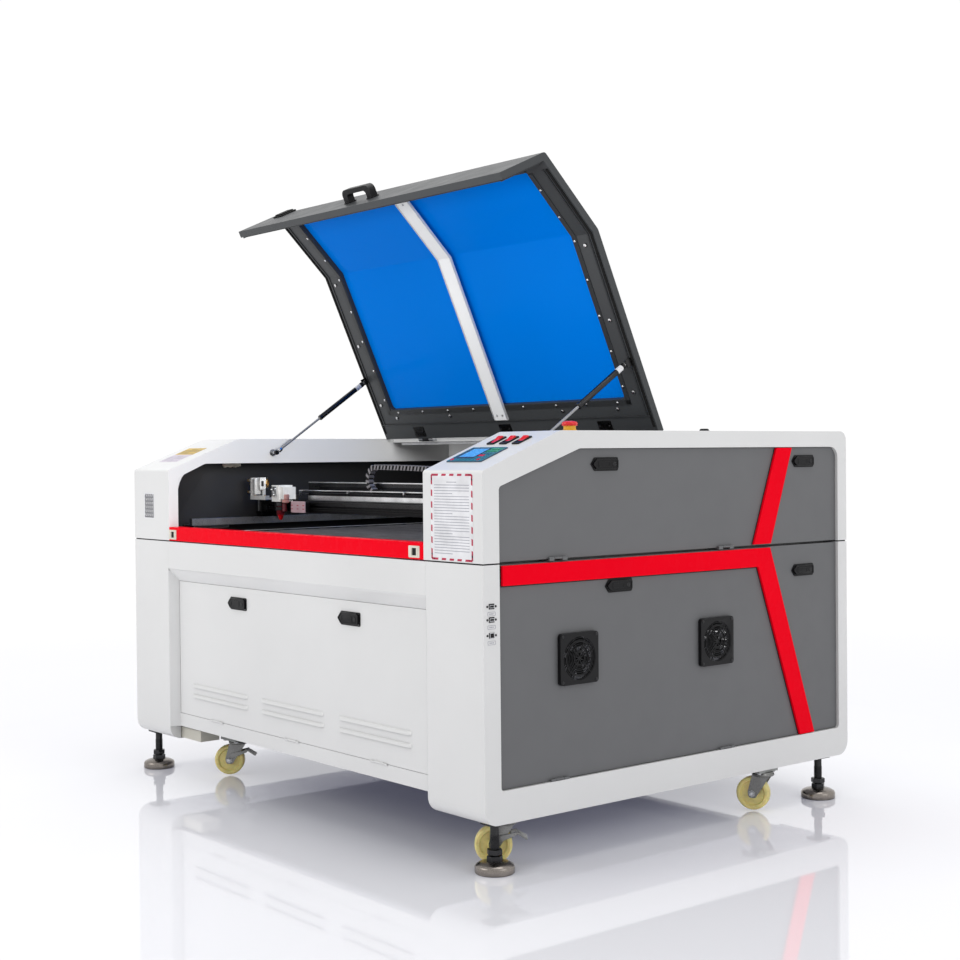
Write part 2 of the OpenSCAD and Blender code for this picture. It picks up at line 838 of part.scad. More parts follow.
module upper_panel() {
    outline = inset(upper_opening(seam_high), panel_gap);
    color([0.4, 0.4, 0.42]) difference() {
        union() {
            difference() {
                along_x(panel_x - panel_t, panel_x) shape(outline);
                along_x(panel_x - panel_t - slack, panel_x - panel_skin) shape(inset(outline, sheet));
            }
            panel_knuckles(upper_hinge_z);
        }
        panel_knuckle_bores(upper_hinge_z);
    }
}

module right_lower_panel() lower_panel(1);

module left_lower_panel() mirror([1, 0, 0]) lower_panel(-1);

module right_upper_panel() upper_panel();

module left_upper_panel() mirror([1, 0, 0]) upper_panel();

stripe_x = panel_x + 8.5;
stripe_top = [[302, seam_high + 4], [378, seam_high + 4], [478, panel_z1 - 2], [408, panel_z1 - 2]];
stripe_leg = [[-674, 742], [321, 739], [510, panel_z0 + 2], [577, panel_z0 + 2], [375, 794], [-674, 794]];

module right_upper_stripe() {
    color("red") along_x(panel_x, stripe_x) polygon(stripe_top);
}

module right_lower_stripe() {
    color("red") along_x(panel_x, stripe_x) polygon(stripe_leg);
}

module right_upper_latches() side_paddles([-303, 536], 1051);

module right_lower_latches() side_paddles([-253, 532], 719);

fan_ys = [-410, 135];
fan_z = 534;
fan_r = 58;
fan_axle_r = 3;
fan_blades = 7;
guard_half = 69;

// Guards on the panel's face with the fan frames and fixed axles behind it.
module vent_guards() {
    color([0.08, 0.08, 0.08]) for (y = fan_ys) {
        difference() {
            along_x(panel_x, panel_x + 12) shape([
                [y - guard_half, fan_z - guard_half, 10], [y + guard_half, fan_z - guard_half, 10],
                [y + guard_half, fan_z + guard_half, 10], [y - guard_half, fan_z + guard_half, 10]]);
            rod_x(panel_x - slack, panel_x + 13, y, fan_z, fan_r);
        }
        for (k = [0 : 3]) translate([panel_x + 9, y, fan_z]) rotate([45 * k + 22.5, 0, 0])
            cube([3, 2 * fan_r + 2, 3], center = true);
        for (r = [18, 32, 46]) difference() {
            rod_x(panel_x + 8, panel_x + 11, y, fan_z, r + 1.5);
            rod_x(panel_x + 7, panel_x + 12, y, fan_z, r - 1.5);
        }
        rod_x(panel_x - 18, panel_x + 9, y, fan_z, fan_axle_r);
    }
}

module fan(y) {
    color([0.15, 0.15, 0.16]) difference() {
        union() {
            rod_x(panel_x - 16, panel_x + 2, y, fan_z, 17);
            for (k = [0 : fan_blades - 1])
                translate([panel_x - 9, y, fan_z]) rotate([k * 360 / fan_blades, 0, 0])
                    translate([0, 0, 34]) rotate([0, 0, 35]) cube([2, 20, 40], center = true);
        }
        rod_x(panel_x - 17, panel_x + 3, y, fan_z, fan_axle_r + run_gap);
    }
}

module front_fan() fan(fan_ys[0]);

module rear_fan() fan(fan_ys[1]);

// Motion system

module y_rails() {
    color("silver") both_sides() {
        box([rail_x - 10, -640, rail_top_z - 20], [rail_x + 10, 440, rail_top_z]);
        box([rail_x - 10, -640, rail_top_z - 24], [tub_x - 2, 440, rail_top_z - 20]);
    }
}

module gantry_beam() {
    color([0.1, 0.1, 0.1]) {
        difference() {
            box([-765, beam_y, beam_z0], [765, beam_y + beam_t, beam_z1]);
            box([-766, beam_y + 4, beam_z0 + 4], [766, beam_y + beam_t - 4, beam_z1 - 4]);
        }
        both_sides() box([rail_x - 18, beam_y - 22, rail_top_z + 0.5],
            [rail_x + 18, beam_y + beam_t + 22, beam_z0]);
        box([-690, beam_y - 6, beam_z1 - 18], [690, beam_y, beam_z1 - 4]);
        along_x(-480, 700) polygon([
            [beam_y + 20, beam_z1], [beam_y + 24, beam_z1], [beam_y + 24, beam_z1 + 22],
            [beam_y + 66, beam_z1 + 22], [beam_y + 66, beam_z1 + 46], [beam_y + 63, beam_z1 + 46],
            [beam_y + 63, beam_z1 + 25], [beam_y + 20, beam_z1 + 25],
        ]);
    }
}

mount_x = -741;
mount_screws = [[-45, 26], [-37, 54], [-45, 67]];

module mirror_mount() {
    color("silver") {
        box([mount_x - 5, beam_y - 50, beam_z1], [mount_x + 92, beam_y + 10, beam_z1 + 6]);
        box([mount_x - 5, beam_y - 50, beam_z1 + 5], [mount_x + 92, beam_y - 32, beam_z1 + 14]);
        box([mount_x - 4, beam_y - 50, beam_z1 + 13], [mount_x + 4, beam_y - 32, beam_z1 + 76]);
        box([mount_x + 19, beam_y - 50, beam_z1 + 18], [mount_x + 26, beam_y - 24, beam_z1 + 76]);
        for (v = mount_screws) rod_x(mount_x - 20, mount_x + 20, beam_y + v[0], beam_z1 + v[1], 3);
        translate([mount_x + 40, beam_y - 22, beam_z1 + 56]) rotate([0, 0, 45])
            cube([14, 34, 40], center = true);
        box([mount_x + 25, beam_y - 34, beam_z1 + 50], [mount_x + 40, beam_y - 24, beam_z1 + 62]);
        rod_z(mount_x + 40, beam_y - 22, beam_z1 + 5, beam_z1 + 40, 6);
    }
}

chain_y = beam_y + 44;
chain_r = 40;
chain_low = beam_z1 + 32;
chain_bend_x = -114;
chain_half = 7;
chain_lower = 420;
chain_upper = 620;
chain_sag = 26;

// Centre line of the cable chain as [x, z, direction]: a lower run on the tray, a half turn and a
// sagging upper run.
function bend_point(a) =
    [chain_bend_x - chain_r * sin(a), chain_low + chain_r - chain_r * cos(a), 180 - a];
function upper_point(t) =
    [chain_bend_x + t * chain_upper, chain_low + 2 * chain_r - chain_sag * t * t,
        atan2(-2 * chain_sag * t, chain_upper)];
chain_line = concat(
    [[chain_bend_x + chain_lower, chain_low, 180]],
    [for (a = [0 : 15 : 180]) bend_point(a)],
    [for (t = [0.1 : 0.1 : 1]) upper_point(t)]);

function beside(line, d) = [for (p = line) [p[0] - d * sin(p[2]), p[1] + d * cos(p[2])]];

module drag_chain() {
    outer = beside(chain_line, chain_half);
    inner = beside(chain_line, -chain_half);
    color([0.15, 0.15, 0.15]) translate([0, chain_y + 9, 0]) rotate([90, 0, 0]) linear_extrude(18)
        polygon(concat(outer, [for (i = [len(inner) - 1 : -1 : 0]) inner[i]]));
}

module laser_head() {
    color("silver") {
        box([head_x - 45, beam_y - 16, beam_z0 - 6], [head_x + 45, beam_y - 6.5, beam_z1 + 20]);
        box([head_x - 25, head_y - 20, beam_z1 - 4], [head_x + 20, beam_y - 16, beam_z1 + 52]);
        box([head_x + 20, head_y - 14, beam_z1 + 4], [head_x + 40, beam_y - 16, beam_z1 + 46]);
        rod_z(head_x, head_y, beam_z0 - 6, beam_z1, 14);
        translate([head_x, head_y, beam_z0 - 22]) cylinder(h = 17, r1 = 5, r2 = 10, $fn = 48);
    }
}

module honeycomb_table() {
    hw = table_w / 2;
    y0 = -560;
    y1 = y0 + table_d;
    color([0.35, 0.35, 0.37]) difference() {
        union() {
            difference() {
                box([-hw, y0, table_z - 40], [hw, y1, table_z + 12]);
                box([30 - hw, y0 + 30, table_z - 41], [hw - 30, y1 - 30, table_z + 13]);
            }
            for (k = [1 : slats]) let (x = k * table_w / (slats + 1) - hw)
                box([x - 1.5, y0 + 20, table_z - 20], [x + 1.5, y1 - 20, table_z]);
            for (x = [-screw_x, screw_x], y = screw_ys)
                box([x - 26, y - 26, table_z - 40], [x + 26, y + 26, table_z - 15]);
        }
        for (x = [-screw_x, screw_x], y = screw_ys)
            rod_z(x, y, table_z - 50, table_z + 20, screw_r + run_gap);
    }
}

slats = 20;
screw_x = 672;
screw_ys = [-540, 320];
screw_r = 10;

module lift_screws() {
    color("silver") for (x = [-screw_x, screw_x], y = screw_ys) {
        rod_z(x, y, tub_floor + 2, table_z + 10, screw_r);
        rod_z(x, y, tub_floor + 2, tub_floor + 14, 24);
    }
}

tube_y = 600;
tube_z = 960;

module laser_tube() {
    color([0.8, 0.7, 0.8]) {
        rod_x(-640, 640, tube_y, tube_z, 38);
        rod_x(-700, -640, tube_y, tube_z, 14);
        rod_x(640, 700, tube_y, tube_z, 14);
    }
}

module tube_brackets() {
    color("silver") for (x = [-480, 480]) difference() {
        union() {
            box([x - 20, tube_y - 60, tube_z - 60], [x + 20, tube_y + 60, tube_z + 50]);
            box([x - 20, tub_back + 2, tube_z - 60], [x + 20, tube_y - 60, tube_z - 50]);
        }
        rod_x(x - 21, x + 21, tube_y, tube_z, 38 + run_gap);
    }
}

module power_supply() {
    color("silver") box([760, 60, frame_z0 + tube], [880, 520, frame_z0 + tube + 220]);
}

// Floor gear

module levelling_feet() {
    color([0.35, 0.32, 0.3]) for (x = [-foot_x, foot_x], y = [foot_front, foot_rear]) {
        translate([x, y, 0]) rotate_extrude($fn = 64)
            polygon([[0, 0], [pad_r - 2, 0], [pad_r, 2], [pad_r, 17], [pad_r - 3, 22],
                [pad_r - 12, 27], [26, 31], [0, 31]]);
        rod_z(x, y, 30, 44, 21, 6);
        rod_z(x, y, 30, post_top, post_r);
    }
}

axle_z = wheel_lift + wheel_r;
axle_r = 5;
wheel_w = 30;
fork_in = wheel_w / 2 + 2;
leg_t = 3;

module at_caster(i) {
    c = caster_places[i];
    translate([c[0], c[1], 0]) rotate([0, 0, c[2]]) children();
}

// The trail runs along +X and the axle along Y in a caster's own frame.
module fork(i) {
    color("darkgray") at_caster(i) {
        rod_z(0, 0, plate_z - 12, plate_z + 7, kingpin_r);
        rod_z(0, 0, plate_z - 12, plate_z - 0.5, 30);
        for (s = [-1, 1]) translate([0, s * (fork_in + leg_t / 2), 0]) rotate([90, 0, 0])
            linear_extrude(leg_t, center = true) difference() {
                shape([[-28, plate_z - 6, 0], [28, plate_z - 6, 0], [caster_trail + 13, axle_z + 4, 8],
                    [caster_trail + 10, axle_z - 13, 9], [caster_trail - 11, axle_z - 13, 9]]);
            }
        box([-28, -fork_in - leg_t, plate_z - 12], [28, fork_in + leg_t, plate_z - 8]);
        translate([caster_trail, 0, axle_z]) rotate([90, 0, 0])
            cylinder(h = 2 * (fork_in + leg_t + 2), r = axle_r, center = true, $fn = 48);
    }
}

module wheel(i) {
    color("khaki") at_caster(i) translate([caster_trail, 0, axle_z]) rotate([90, 0, 0])
        rotate_extrude($fn = 96)
        polygon([
            [axle_r + run_gap, -fork_in + 1], [14, -fork_in + 1], [16, -9], [34, -9], [38, -wheel_w / 2],
            [wheel_r - 5, -wheel_w / 2], [wheel_r, 5 - wheel_w / 2], [wheel_r, wheel_w / 2 - 5],
            [wheel_r - 5, wheel_w / 2], [38, wheel_w / 2], [34, 9], [16, 9], [14, fork_in - 1],
            [axle_r + run_gap, fork_in - 1],
        ]);
}

module front_left_fork() fork(0);

module front_left_wheel() wheel(0);

module front_right_fork() fork(1);

module front_right_wheel() wheel(1);

module rear_left_fork() fork(2);

module rear_left_wheel() wheel(2);

module rear_right_fork() fork(3);

module rear_right_wheel() wheel(3);

welded_frame();
left_stand();
right_stand();
left_housing();
right_housing();
front_fascia();
front_sill();
work_tub();
rear_deck();
rear_panel();
control_panel();
port_sockets();
stop_base();
fixed_pivots();
y_rails();
lift_screws();
laser_tube();
tube_brackets();
power_supply();
lid_frame();
lid_window();
lid_centre_bar();
lid_handle();
lid_screws();
lid_pivots();
left_strut_tube();
left_strut_rod();
right_strut_tube();
right_strut_rod();
front_door();
front_door_latches();
right_upper_panel();
right_upper_stripe();
right_upper_latches();
right_lower_panel();
right_lower_stripe();
right_lower_latches();
vent_guards();
front_fan();
rear_fan();
left_upper_panel();
left_lower_panel();
gantry_beam();
mirror_mount();
drag_chain();
laser_head();
honeycomb_table();
stop_button();
left_rocker();
middle_rocker();
right_rocker();
front_left_fork();
front_left_wheel();
front_right_fork();
front_right_wheel();
rear_left_fork();
rear_left_wheel();
rear_right_fork();
rear_right_wheel();
levelling_feet();
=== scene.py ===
"""Looks of the laser engraver: materials for every CAD node, the fine parts that ride on them, light and camera."""

import json
import math

import bmesh
import bpy
from mathutils import Matrix, Vector

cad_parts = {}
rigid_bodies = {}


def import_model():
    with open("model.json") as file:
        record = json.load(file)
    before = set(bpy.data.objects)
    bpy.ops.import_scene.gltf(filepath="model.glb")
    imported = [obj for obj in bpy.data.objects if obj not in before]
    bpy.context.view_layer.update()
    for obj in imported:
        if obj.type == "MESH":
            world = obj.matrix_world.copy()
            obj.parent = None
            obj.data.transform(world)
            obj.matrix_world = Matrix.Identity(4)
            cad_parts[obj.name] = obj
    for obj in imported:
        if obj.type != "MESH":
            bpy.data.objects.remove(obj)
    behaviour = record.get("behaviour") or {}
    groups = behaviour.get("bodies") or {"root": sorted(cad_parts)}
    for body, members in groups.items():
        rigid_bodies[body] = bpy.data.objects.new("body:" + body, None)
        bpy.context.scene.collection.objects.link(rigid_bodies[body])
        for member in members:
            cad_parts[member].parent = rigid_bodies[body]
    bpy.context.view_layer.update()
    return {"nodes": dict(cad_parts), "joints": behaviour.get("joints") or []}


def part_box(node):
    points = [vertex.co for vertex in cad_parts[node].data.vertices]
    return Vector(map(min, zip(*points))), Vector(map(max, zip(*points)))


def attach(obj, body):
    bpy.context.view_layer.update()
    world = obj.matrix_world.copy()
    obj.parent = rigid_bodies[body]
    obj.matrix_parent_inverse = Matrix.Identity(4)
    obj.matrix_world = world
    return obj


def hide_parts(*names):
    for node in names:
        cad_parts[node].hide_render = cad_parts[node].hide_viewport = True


for leftover in list(bpy.data.objects):
    bpy.data.objects.remove(leftover)
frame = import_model()
nodes = frame["nodes"]
joints = {j["name"]: j for j in frame["joints"]}
MM = 0.001


# ---------------------------------------------------------------- geometry helpers


def unit2(x, y):
    length = math.hypot(x, y)
    return x / length, y / length


def rounded(points, steps=6):
    """The outline of (x, y, corner radius) points, with an arc at each corner that has a radius."""
    outline = []
    for i, (x, y, r) in enumerate(points):
        if r <= 0:
            outline.append((x, y))
            continue
        px, py, _ = points[i - 1]
        nx, ny, _ = points[(i + 1) % len(points)]
        ux, uy = unit2(px - x, py - y)
        vx, vy = unit2(nx - x, ny - y)
        half = math.acos(max(-1, min(1, ux * vx + uy * vy))) / 2
        mx, my = unit2(ux + vx, uy + vy)
        cx, cy = x + mx * r / math.sin(half), y + my * r / math.sin(half)
        reach = r / math.tan(half)
        start = math.atan2(y + uy * reach - cy, x + ux * reach - cx)
        end = math.atan2(y + vy * reach - cy, x + vx * reach - cx)
        sweep = (end - start + math.pi) % (2 * math.pi) - math.pi
        for k in range(steps + 1):
            a = start + sweep * k / steps
            outline.append((cx + r * math.cos(a), cy + r * math.sin(a)))
    return outline


def rectangle(x0, y0, x1, y1, r=0.0, steps=6):
    return rounded([(x0, y0, r), (x1, y0, r), (x1, y1, r), (x0, y1, r)], steps)


def circle(r, steps=48, x=0.0, y=0.0):
    return [(x + r * math.cos(2 * math.pi * k / steps), y + r * math.sin(2 * math.pi * k / steps)) for k in range(steps)]


def placed(origin, x_axis=(1, 0, 0), y_axis=(0, 1, 0)):
    """A matrix whose local X and Y lie along the given directions."""
    x = Vector(x_axis).normalized()
    y = Vector(y_axis).normalized()
    m = Matrix((x, y, x.cross(y))).transposed().to_4x4()
    m.translation = Vector(origin)
    return m


def prism(bm, outline, z0, z1, m=Matrix()):
    low = [bm.verts.new(m @ Vector((x, y, z0))) for x, y in outline]
    high = [bm.verts.new(m @ Vector((x, y, z1))) for x, y in outline]
    n = len(outline)
    bm.faces.new(low[::-1])
    bm.faces.new(high)
    for i in range(n):
        bm.faces.new((low[i], low[(i + 1) % n], high[(i + 1) % n], high[i]))


def ring(bm, outer, inner, z0, z1, m=Matrix()):
    """A plate with a hole; both outlines have the same number of points."""
    n = len(outer)
    loops = [
        [bm.verts.new(m @ Vector((x, y, z))) for x, y in outline]
        for outline, z in ((outer, z0), (outer, z1), (inner, z1), (inner, z0))
    ]
    for a, b in zip(loops, loops[1:] + loops[:1]):
        for i in range(n):
            j = (i + 1) % n
            bm.faces.new((a[i], a[j], b[j], b[i]))


def block(bm, low, high, m=Matrix()):
    prism(bm, [(low[0], low[1]), (high[0], low[1]), (high[0], high[1]), (low[0], high[1])], low[2], high[2], m)


def turned(bm, profile, m=Matrix(), steps=48):
    """A solid turned about local Z from (radius, height) points that start and end on the axis or close on themselves."""
    closed = profile[0][0] > 0
    rows = []
    for r, z in profile:
        if r <= 0:
            rows.append([bm.verts.new(m @ Vector((0, 0, z)))])
        else:
            rows.append([
                bm.verts.new(m @ Vector((r * math.cos(2 * math.pi * k / steps), r * math.sin(2 * math.pi * k / steps), z)))
                for k in range(steps)
            ])
    pairs = list(zip(rows, rows[1:])) + ([(rows[-1], rows[0])] if closed else [])
    for a, b in pairs:
        for k in range(steps):
            j = (k + 1) % steps
            if len(a) == 1:
                bm.faces.new((a[0], b[j], b[k]))
            elif len(b) == 1:
                bm.faces.new((a[k], a[j], b[0]))
            else:
                bm.faces.new((a[k], a[j], b[j], b[k]))


def tube(bm, points, r, steps=12, m=Matrix()):
    """A round cable or hose through the points."""
    points = [Vector(p) for p in points]
    side = None
    rows = []
    for i, p in enumerate(points):
        ahead = (points[min(i + 1, len(points) - 1)] - points[max(i - 1, 0)]).normalized()
        if side is None:
            side = ahead.orthogonal().normalized()
        side = (side - ahead * side.dot(ahead)).normalized()
        up = ahead.cross(side)
        rows.append([
            bm.verts.new(m @ (p + r * (side * math.cos(2 * math.pi * k / steps) + up * math.sin(2 * math.pi * k / steps))))
            for k in range(steps)
        ])
    for a, b in zip(rows, rows[1:]):
        for k in range(steps):
            j = (k + 1) % steps
            bm.faces.new((a[k], a[j], b[j], b[k]))
    bm.faces.new(rows[0][::-1])
    bm.faces.new(rows[-1])


def curve_through(points, steps=8):
    """A smooth path (Catmull-Rom) through the points."""
    p = [Vector(q) for q in points]
    p = [2 * p[0] - p[1]] + p + [2 * p[-1] - p[-2]]
    path = []
    for i in range(1, len(p) - 2):
        for k in range(steps):
            t = k / steps
            path.append(0.5 * (
                2 * p[i] + (p[i + 1] - p[i - 1]) * t
                + (2 * p[i - 1] - 5 * p[i] + 4 * p[i + 1] - p[i + 2]) * t * t
                + (3 * p[i] - p[i - 1] - 3 * p[i + 1] + p[i + 2]) * t ** 3))
    return path + [p[-2]]


def part(name, bm, body, material, bevel=0.0, angle=35, segments=2):
    """Turns a bmesh drawn in millimetres in the row frame into a piece that rides on a body."""
    bm.transform(Matrix.Scale(MM, 4))
    bmesh.ops.recalc_face_normals(bm, faces=bm.faces)
    mesh = bpy.data.meshes.new(name)
    bm.to_mesh(mesh)
    bm.free()
    for polygon in mesh.polygons:
        polygon.use_smooth = True
    mesh.set_sharp_from_angle(angle=math.radians(angle))
    mesh.materials.append(material)
    obj = bpy.data.objects.new(name, mesh)
    bpy.context.scene.collection.objects.link(obj)
    if bevel > 0:
        add_bevel(obj, bevel * MM, angle, segments)
    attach(obj, body)
    return obj


def add_bevel(obj, width, angle=35, segments=2):
    bevel = obj.modifiers.new("edge_radius", "BEVEL")
    bevel.width = width
    bevel.segments = segments
    bevel.limit_method = "ANGLE"
    bevel.angle_limit = math.radians(angle)
    bevel.harden_normals = True
    bevel.miter_outer = "MITER_ARC"


def pan_head(bm, m, r, height):
    """A pan-head screw on local Z with a dished recess in its crown."""
    crown = [(0, height * 0.72), (r * 0.2, height * 0.74)]
    rim = [(r * math.cos(a), height * (0.35 + 0.65 * math.sin(a))) for a in (1.25, 0.95, 0.6, 0.3, 0.0)]
    turned(bm, crown + [(r * 0.24, height * 0.98)] + rim + [(r, 0), (0, 0)], m, 20)


# ---------------------------------------------------------------- materials


class Nodes:
    """A short way to write a node tree."""

    def __init__(self, name, rough=0.5, metal=0.0, colour=(0.5, 0.5, 0.5)):
        self.material = bpy.data.materials.new(name)
        self.material.use_nodes = True
        self.tree = self.material.node_tree
        self.shader = self.tree.nodes["Principled BSDF"]
        self.output = self.tree.nodes["Material Output"]
        self.set(roughness=rough, metallic=metal)
        self.set(base_color=(*colour, 1))
        self.material.diffuse_color = (*colour, 1)
        self.coords = self.add("ShaderNodeTexCoord").outputs["Object"]

    def add(self, kind, **settings):
        node = self.tree.nodes.new(kind)
        for key, value in settings.items():
            setattr(node, key, value)
        return node

    def link(self, a, b):
        self.tree.links.new(a, b)

    def set(self, **values):
        for key, value in values.items():
            self.shader.inputs[key.replace("_", " ").title().replace("Ior", "IOR")].default_value = value

    def noise(self, scale, detail=3, stretch=(1, 1, 1), roughness=0.5):
        mapping = self.add("ShaderNodeMapping")
        mapping.inputs["Scale"].default_value = stretch
        self.link(self.coords, mapping.inputs["Vector"])
        noise = self.add("ShaderNodeTexNoise")
        noise.inputs["Scale"].default_value = scale
        noise.inputs["Detail"].default_value = detail
        noise.inputs["Roughness"].default_value = roughness
        self.link(mapping.outputs["Vector"], noise.inputs["Vector"])
        return noise.outputs["Fac"]

    def ramp(self, value, low, high, a, b):
        """Maps value from low..high to a..b."""
        node = self.add("ShaderNodeMapRange")
        for key, v in (("From Min", low), ("From Max", high), ("To Min", a), ("To Max", b)):
            node.inputs[key].default_value = v
        self.link(value, node.inputs["Value"])
        return node.outputs["Result"]

    def mix(self, factor, a, b):
        """Mixes two colours, each a tuple or a socket."""
        node = self.add("ShaderNodeMix", data_type="RGBA")
        if isinstance(factor, (int, float)):
            node.inputs[0].default_value = factor
        else:
            self.link(factor, node.inputs[0])
        for socket, colour in ((node.inputs[6], a), (node.inputs[7], b)):
            if isinstance(colour, tuple):
                socket.default_value = (*colour[:3], 1)
            else:
                self.link(colour, socket)
        return node.outputs[2]

    def math(self, operation, a, b=0.0):
        node = self.add("ShaderNodeMath", operation=operation)
        for socket, value in ((node.inputs[0], a), (node.inputs[1], b)):
            if isinstance(value, (int, float)):
                socket.default_value = value
            else:
                self.link(value, socket)
        return node.outputs[0]

    def bump(self, height, strength, distance, normal=None):
        node = self.add("ShaderNodeBump")
        node.inputs["Strength"].default_value = strength
        node.inputs["Distance"].default_value = distance
        self.link(height, node.inputs["Height"])
        if normal is not None:
            self.link(normal, node.inputs["Normal"])
        self.link(node.outputs["Normal"], self.shader.inputs["Normal"])
        return node.outputs["Normal"]

    def edges(self, radius=0.002):
        """1 on edges, 0 on flats: the mask for painted edge highlights and edge wear."""
        bevel = self.add("ShaderNodeBevel", samples=4)
        bevel.inputs["Radius"].default_value = radius
        geometry = self.add("ShaderNodeNewGeometry")
        dot = self.add("ShaderNodeVectorMath", operation="DOT_PRODUCT")
        self.link(bevel.outputs["Normal"], dot.inputs[0])
        self.link(geometry.outputs["Normal"], dot.inputs[1])
        return self.ramp(dot.outputs["Value"], 0.99, 0.9, 0, 1)

    def corners(self, distance=0.03):
        """0 in open air, towards 1 in seams and inner corners: the ambient-occlusion mask for painted shade."""
        ao = self.add("ShaderNodeAmbientOcclusion", samples=4)
        ao.inputs["Distance"].default_value = distance
        return self.ramp(ao.outputs["AO"], 1, 0.3, 0, 1)

    def colour(self, socket):
        self.link(socket, self.shader.inputs["Base Color"])

    def rough(self, socket):
        self.link(socket, self.shader.inputs["Roughness"])


def scaled(colour, k):
    return tuple(min(1, c * k) for c in colour)


def powder_coat(name, colour, rough=0.42, peel=0.25, seam_shade=0.25, edge_highlight_and_wear=0.15, coat=0.15, shine=0.5):
    """Baked powder paint: faint clouding, a fine orange-peel skin, painted shade in seams, and lighter edges as painted
    highlight and wear.
    """
    n = Nodes(name, rough, 0, colour)
    n.set(coat_weight=coat, coat_roughness=0.25, specular_ior_level=shine)
    cloud = n.ramp(n.noise(2.2, 4), 0.3, 0.7, 0, 1)
    speck = n.ramp(n.noise(900, 2), 0.35, 0.65, 0, 1)
    base = n.mix(cloud, scaled(colour, 0.965), scaled(colour, 1.02))
    base = n.mix(n.math("MULTIPLY", speck, 0.12), base, scaled(colour, 0.86))
    # Painted shade: darker in seams and inner corners, by the ambient-occlusion mask.
    base = n.mix(n.math("MULTIPLY", n.corners(), seam_shade), base, scaled(colour, 0.45))
    # Painted highlight and wear: lighter on the edges.
    base = n.mix(n.math("MULTIPLY", n.edges(), edge_highlight_and_wear), base, scaled(colour, 1.35))
    n.colour(base)
    n.rough(n.ramp(n.noise(14, 4), 0.3, 0.7, rough - 0.05, rough + 0.06))
    n.bump(n.noise(420, 2), peel, 0.0004)
    return n.material


def gloss_paint(name, colour, rough=0.22):
    n = Nodes(name, rough, 0, colour)
    n.set(specular_ior_level=0.02, coat_weight=0.01, coat_roughness=0.15)
    # Painted light: the enamel glows faintly in its own colour.
    n.set(emission_color=(*colour, 1), emission_strength=0.07)
    cloud = n.ramp(n.noise(3, 3), 0.3, 0.7, 0, 1)
    base = n.mix(cloud, scaled(colour, 0.93), colour)
    # Painted highlight: a brighter red on the edges.
    base = n.mix(n.math("MULTIPLY", n.edges(0.0025), 0.25), base, (min(1, colour[0] * 1.1), 0.04, 0.05))
    n.colour(base)
    n.rough(n.ramp(n.noise(30, 4), 0.3, 0.7, rough - 0.05, rough + 0.08))
    n.bump(n.noise(260, 2), 0.12, 0.0004)
    return n.material


def moulded(name, colour, rough=0.45, grain=700, depth=0.3, shine=0.5):
    """Injection-moulded plastic with a spark-eroded grain, and edges lightened as painted highlight and rubbing."""
    n = Nodes(name, rough, 0, colour)
    n.set(specular_ior_level=shine)
    cloud = n.ramp(n.noise(25, 3), 0.3, 0.7, 0, 1)
    base = n.mix(cloud, scaled(colour, 0.88), scaled(colour, 1.08))
    # Painted highlight and rubbing: lighter on the edges.
    base = n.mix(n.math("MULTIPLY", n.edges(0.0012), 0.35), base, tuple(c + 0.05 for c in scaled(colour, 1.3)))
    n.colour(base)
    n.rough(n.ramp(n.noise(60, 4), 0.3, 0.7, rough - 0.06, rough + 0.1))
    n.bump(n.noise(grain, 3), depth, 0.0003)
    return n.material


def metal(name, colour, rough=0.35, stretch=(1, 1, 1), brush=0.2, spots=0.0, scale=220):
    """Bare or plated metal; stretch sets the brushing direction, spots gives zinc spangle or staining."""
    n = Nodes(name, rough, 1, colour)
    cloud = n.ramp(n.noise(18, 4), 0.35, 0.65, 0, 1)
    base = n.mix(cloud, scaled(colour, 0.82), scaled(colour, 1.08))
    if spots:
        spangle = n.add("ShaderNodeTexVoronoi")
        spangle.inputs["Scale"].default_value = 260
        n.link(n.coords, spangle.inputs["Vector"])
        base = n.mix(n.math("MULTIPLY", spangle.outputs["Distance"], spots), base, scaled(colour, 0.5))
    # Painted shade: darker in crevices, by the ambient-occlusion mask.
    base = n.mix(n.math("MULTIPLY", n.corners(0.01), 0.5), base, scaled(colour, 0.25))
    n.colour(base)
    lines = n.noise(scale, 3, stretch)
    n.rough(n.ramp(lines, 0.3, 0.7, rough - 0.08, rough + 0.12))
    n.bump(lines, brush, 0.0003)
    return n.material


def blue_window():
    """Tinted acrylic: takes light from both faces, so it glows against a bright room."""
    colour = (0.0, 0.19, 0.68)
    n = Nodes("blue_acrylic", 0.16, 0, colour)
    n.set(specular_ior_level=0.02)
    cloud = n.ramp(n.noise(1.6, 3), 0.3, 0.7, 0, 1)
    n.colour(n.mix(cloud, (0.0, 0.18, 0.64), colour))
    n.rough(n.ramp(n.noise(9, 5), 0.3, 0.7, 0.12, 0.24))
    n.bump(n.noise(5, 2), 0.08, 0.002)
    through = n.add("ShaderNodeBsdfTranslucent")
    through.inputs["Color"].default_value = (0.0, 0.46, 0.95, 1)
    blend = n.add("ShaderNodeMixShader")
    blend.inputs[0].default_value = 0.3
    n.link(n.shader.outputs[0], blend.inputs[1])
    n.link(through.outputs[0], blend.inputs[2])
    n.link(blend.outputs[0], n.output.inputs["Surface"])
    return n.material


def nylon():
    """Cast nylon wheel: waxy, a little translucent, scuffed on the tread."""
    colour = (0.82, 0.70, 0.27)
    n = Nodes("cream_nylon", 0.38, 0, colour)
    n.set(subsurface_weight=0.25, subsurface_scale=0.004)
    scuff = n.ramp(n.noise(90, 6, roughness=0.7), 0.5, 0.75, 0, 1)
    base = n.mix(n.ramp(n.noise(20, 3), 0.3, 0.7, 0, 1), scaled(colour, 0.85), scaled(colour, 1.15))
    base = n.mix(n.math("MULTIPLY", scuff, 0.35), base, (0.35, 0.27, 0.13))
    n.colour(base)
    n.rough(n.ramp(scuff, 0, 1, 0.3, 0.6))
    n.bump(n.noise(320, 3), 0.2, 0.0004)
    return n.material


